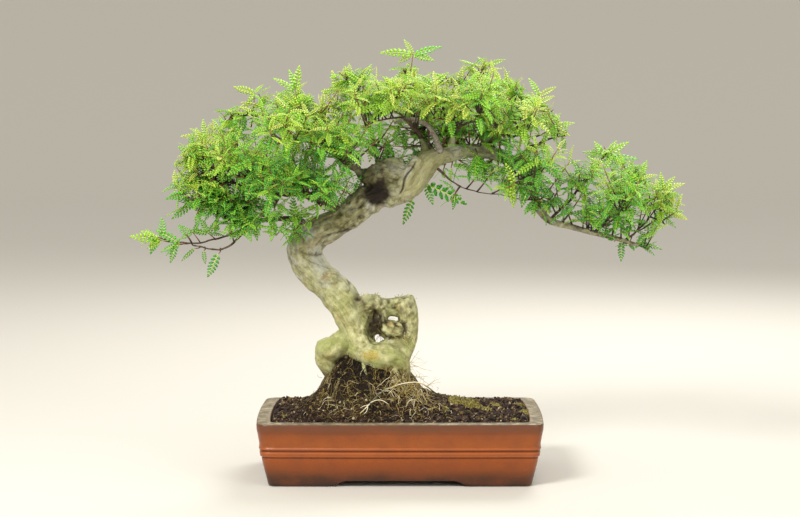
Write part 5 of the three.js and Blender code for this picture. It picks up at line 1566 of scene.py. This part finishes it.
def sprayShoots(random, spray, fullness):
    # the twig of the measured spray and shorter shoots that leave it, up and outwards
    limbName, head, heading, pitch, *startShare = spray
    head = np.array(head, float)
    if startShare:
        start = footAt(limbName, startShare[0])
    else:
        outer = limbLine(limbName, 1.5)
        outer = outer[len(outer) // 5:]
        start = outer[np.linalg.norm(outer - head, axis=1).argmin()]
    lean = headingVector(heading, pitch)
    tip = head + lean * 6
    tip[2] = min(tip[2], underCrown(tip[0]) - 6)
    bend = start + (tip - start) * 0.55 + [0, 0, 0.12 * np.linalg.norm(head - start)]
    main = insideBox(bezier(start, bend, tip, stationShares), foliage["margin"])
    leaves = round(foliage["leavesOnTwig"] * min(1, 0.5 + fullness * 0.5))
    shoots = [(main, 1.2, leaves, 0.3)]
    number = round(foliage["sideShoots"] * fullness)
    for i in range(number):
        share = 0.2 + 0.75 * (i + random.random() * 0.6) / number
        foot = bezier(start, bend, tip, np.array([share]))[0]
        turn = heading + foliage["divergence"] * i + random.uniform(-25, 25)
        aim = unit(headingVector(turn, random.uniform(0, 50)) + 0.4 * lean + [0, 0, 0.5])
        length = foliage["shootLength"] * random.uniform(0.6, 1.15)
        shoots.append((curvedShoot(foot, aim, length), 0.9, foliage["leavesOnShoot"], 0.4))
    return shoots


def limbShoots(random):
    # short leafy shoots on the outer two thirds of each limb, left and right by turns, and
    # nearly bare ones nearer the trunk
    shoots = []
    for name in limbs:
        if name in foliage["bareLimbs"]:
            continue
        line = limbLine(name, 1.0)
        first = int(len(line) * 0.38)
        for at in range(10, first, 6):
            aim = unit(random.normal(0, 0.8, 3) + [0, 0, 1.1])
            shoots.append((curvedShoot(line[at], aim, random.uniform(16, 40)), 0.9, 2, 0.65))
        for i, at in enumerate(range(first, len(line) - 4, foliage["limbShootEvery"])):
            ahead = unit(line[at + 3] - line[at])
            flat = unit(np.cross(ahead, [0.05, 0.02, 1.0])) * (1 if i % 2 else -1)
            aim = 0.5 * ahead + random.uniform(0.3, 1.0) * flat
            aim = unit(aim + [0, 0, random.uniform(0.2, 1.0)])
            shoots.append((curvedShoot(line[at], aim, random.uniform(20, 36)), 0.85,
                           foliage["leavesOnLimbShoot"], 0.4))
    return shoots


def fillerShoots(random):
    shoots = []
    for limbName, first, last, number, aim, length in foliage["fillers"]:
        wander = random.uniform(-0.6, 0.6, number) * (last - first) / number
        for share in np.clip(np.linspace(first, last, number) + wander, 0, 1):
            way = unit(unit(np.array(aim, float)) + random.normal(0, 0.45, 3))
            shoot = curvedShoot(footAt(limbName, share), way, length * random.uniform(0.7, 1.1))
            shoots.append((shoot, 0.85 + length / 110, foliage["leavesOnLimbShoot"],
                           0.3 + length / 250))
    return shoots


def accentShoots():
    shoots = []
    for (footX, footZ), (tipX, tipZ), y, _ in foliage["accents"]:
        foot, tip = np.array([footX, y + 3, footZ]), np.array([tipX, y, tipZ])
        bend = (foot + tip) / 2 + [2.0, 0, -1.5]
        stem = insideBox(bezier(foot, bend, tip, stationShares), foliage["margin"])
        shoots.append((stem, 0.9, 0, 0))
    return shoots


def accentLeaves(random):
    # the same columns as leavesOn; each leaf runs from its stem's tip to the place that is given
    rows = [((tipX, y, tipZ), (x, y + random.uniform(-8, 3), z))
            for _, (tipX, tipZ), y, ends in foliage["accents"] for x, z in ends]
    base, end = np.array(rows, float).transpose(1, 0, 2)
    count = len(base)
    length = np.linalg.norm(end - base, axis=1)
    along = (end - base) / length[:, None]
    side = unit(np.cross([0, -0.75, 0.65] + random.normal(0, 0.25, (count, 3)), along))
    droop = np.radians(random.uniform(8, 26, count))
    shade = random.normal(-0.05, 0.15, count)
    # those under the trunk and under the lowest limb are in the shade
    underTrunk = (base[:, 2] < 318) & (np.abs(base[:, 0] - 20) < 30)
    shade += 0.4 * (underTrunk | (base[:, 2] < 247))
    return base, along, side, length, droop, np.zeros(count), shade


def leavesOn(random, shoot, count, firstShare, first):
    # a spiral of leaves up the shoot, each leaning out from it; the last ones are short and young,
    # and a short shoot has fewer
    shootLength = np.linalg.norm(np.diff(shoot, axis=0), axis=1).sum()
    count = max(1, min(count, round(shootLength * (1 - firstShare) / foliage["leafEvery"])))
    shares = firstShare + (1 - firstShare) * (np.arange(count) + 1) / count
    place = shares * (len(shoot) - 1)
    below = np.minimum(place.astype(int), len(shoot) - 2)
    step = shoot[below + 1] - shoot[below]
    base = shoot[below] + step * (place - below)[:, None]
    shootWay = unit(step)
    turn = np.radians(foliage["divergence"] * np.arange(count) + first)[:, None]
    flat = unit(np.cross(shootWay, [0.13, 0.21, 1.0]))
    out = flat * np.cos(turn) + np.cross(shootWay, flat) * np.sin(turn)
    youth = smoothStep(shares, 0.55, 1.0)
    spread = np.radians(84 - 46 * youth ** 2 + random.uniform(-12, 12, count))[:, None]
    along = unit(shootWay * np.cos(spread) + out * np.sin(spread) + [0, 0, 0.1])
    faceY = np.clip(base[:, 1] / 60, -1, 1) * 0.3 - 0.12
    faceWay = np.column_stack([np.zeros(count), faceY, np.ones(count)])
    side = unit(np.cross(faceWay + random.normal(0, 0.36, (count, 3)), along))
    length = foliage["length"] * (1.0 - 0.3 * youth) * random.uniform(0.75, 1.12, count)
    droop = np.radians(random.uniform(10, 52, count))
    lift = random.uniform(-0.1, 0.16, count)
    shade = random.normal(0, 0.15) - 0.17 * youth + random.normal(0, 0.13, count)
    return base, along, side, length, droop, lift, shade


def beforeBareWood(points):
    # places in front of the bare stretch of trunk or of the dead limb, where the photo shows wood
    line = limbLine("trunk", 4)
    fromTrunk, fromDead = (
        np.linalg.norm(points[:, None, [0, 2]] - rod[:, [0, 2]], axis=2).min(axis=1)
        for rod in (line[line[:, 2] > 268], smoothPath(deadLimb, 4)))
    return (fromTrunk < 20) & (points[:, 1] < 10) | (fromDead < 12) & (points[:, 1] < -2)


def makeLeaves(name, grown, random, material, nodes=(), placed=False):
    # leaves that are placed one by one may stand before the wood and outside the canopy's outline
    base, along, side, length, droop, lift, shade = (np.concatenate(rows) for rows in zip(*grown))
    # tone runs from young yellow-green at 0 to deep green at 1; it is deeper under the crown and
    # behind, which is painted shade
    under = smoothStep(underCrown(base[:, 0]) - base[:, 2], 0, 110)
    behind = smoothStep(base[:, 1], -60, 80)
    tipward = smoothStep(base[:, 0], 165, 200) * (1 - smoothStep(base[:, 0], 258, 282))
    tone = np.clip(0.28 + 0.5 * under + 0.15 * behind + 0.22 * tipward + shade, 0, 1)
    keep = ~beforeBareWood(base + along * length[:, None] * 0.55) | placed
    chance = random.random(len(base))
    points, masks = growLeaves(base, along, side, length, droop, lift, tone, chance)
    keep &= (points == insideBox(points, 0.2)).all(axis=(1, 2))
    tolerance = 100 if placed else random.exponential(6, len(base))
    above = points[..., 2] - underCrown(points[..., 0])
    below = overSkirt(points[..., 0]) - points[..., 2]
    keep &= np.maximum(above, below).max(axis=1) < tolerance
    points, masks = points[keep], masks[keep]
    faces = repeatFaces(leafShape[1], *points.shape[:2])
    meshPiece(name, points, [faces], material, nodes, masks, smooth=False)
    return len(points)


def makeFoliage(material):
    leaves, allShoots = 0, []

    def grow(name, shoots, random, nodes=()):
        grown = [leavesOn(random, shoot, count, firstShare, random.uniform(0, 360))
                 for shoot, _, count, firstShare in shoots]
        allShoots.extend(shoots)
        return makeLeaves(name, grown, random, material, nodes)

    for number, (name, spray) in enumerate(sprays.items()):
        random = np.random.default_rng(foliage["seed"] + number)
        shoots = sprayShoots(random, spray, foliage["sparse"].get(name, 1))
        title = "leaves" + name[0].upper() + name[1:]
        leaves += grow(title, shoots, random, ["spray_" + name])
    random = np.random.default_rng(foliage["seed"] - 1)
    leaves += grow("leavesOnLimbs", limbShoots(random), random)
    leaves += grow("leavesBetweenLimbs", fillerShoots(random), random)
    leaves += makeLeaves("leavesStandingOut", [accentLeaves(random)], random, material,
                         placed=True)
    allShoots += accentShoots()
    print("foliage:", leaves, "leaves,", len(allShoots), "shoots")
    return allShoots


def pepperLeaf():
    # thin living leaf: waxy skin over green tissue that light passes through; young ones are
    # yellow-green, old ones and those in painted shade deep green, and the rib is tinged red
    material, tree, _, patch, grain = newMaterial("pepperLeaflets", {
        "Roughness": 0.46, "IOR": 1.42, "Specular IOR Level": 0.3, "Subsurface Weight": 0.28,
        "Subsurface Scale": 0.004, "Subsurface Radius": (0.5, 1.0, 0.15),
    }, [(2.5, 3, 0.55), (0.9, 2, 0.55)])
    tone, vein, rib, chance = readMasks(tree)
    drift = addNode(tree, "Math", {0: patch, 1: 0.22, 2: -0.11}, operation="MULTIPLY_ADD")
    # the tone mask carries the leaf's age and its painted shade
    age = addNode(tree, "Math", {0: tone, 1: drift}, operation="ADD")
    blade = addNode(tree, "ValToRGB", {0: age}, stops=[
        (0.0, "ecfd70"), (0.2, "d0fa50"), (0.45, "a8f746"), (0.7, "6cda3a"), (1.0, "2f8e28")])
    cool, tinged = (addNode(tree, "ValToRGB", {0: chance}, stops=stops)
                    for stops in ([(0.55, 0.0), (0.8, 0.7)], [(0.55, 0.0), (0.9, 1.0)]))
    ribs = addNode(tree, "Mix", {0: tinged, 6: "b3d24a", 7: "a8a045"}, 2, data_type="RGBA")
    colour = layOver(tree, blade, [(cool, age, "3cb84a"), (vein, 0.1, "cfe089"), (rib, 1.0, ribs)])
    return linkFinish(material, colour, [(grain, 0.08)])


def makeTwigs(shoots, material):
    # each twig thins evenly to 0.45 of its radius at the tip
    paths = np.stack([shoot[0] for shoot in shoots])
    radius = np.array([shoot[1] for shoot in shoots])[:, None] * (1 - 0.55 * stationShares)
    sides = 5
    points, quads, caps, each = tubes(paths, radius, sides)
    masks = np.zeros((len(paths), each, 4))
    masks[:, :len(stationShares) * sides, 0] = np.repeat(stationShares, sides)
    masks[:, -1, 0] = 1
    meshPiece("youngTwigs", points, [quads, caps], material, (), masks)


def twigBark():
    # this year's shoots: thin red-brown skin, greener and smoother to the tip
    material, tree, _, mottle, grain = newMaterial(
        "redBrownTwigSkin", {"Roughness": 0.55, "IOR": 1.45}, [(1.5, 4, 0.55), (0.8, 3, 0.55)])
    skin = addNode(tree, "ValToRGB", {0: readMasks(tree)[0]}, stops=[
        (0.0, "2f2722"), (0.35, "4a352b"), (0.7, "8a4d38"), (1.0, "8f7a3c")])
    colour = layOver(tree, skin, [(mottle, 0.5, "3e2a20")])
    return linkFinish(material, colour, [(grain, 0.12)])


makeTwigs(makeFoliage(pepperLeaf()), twigBark())
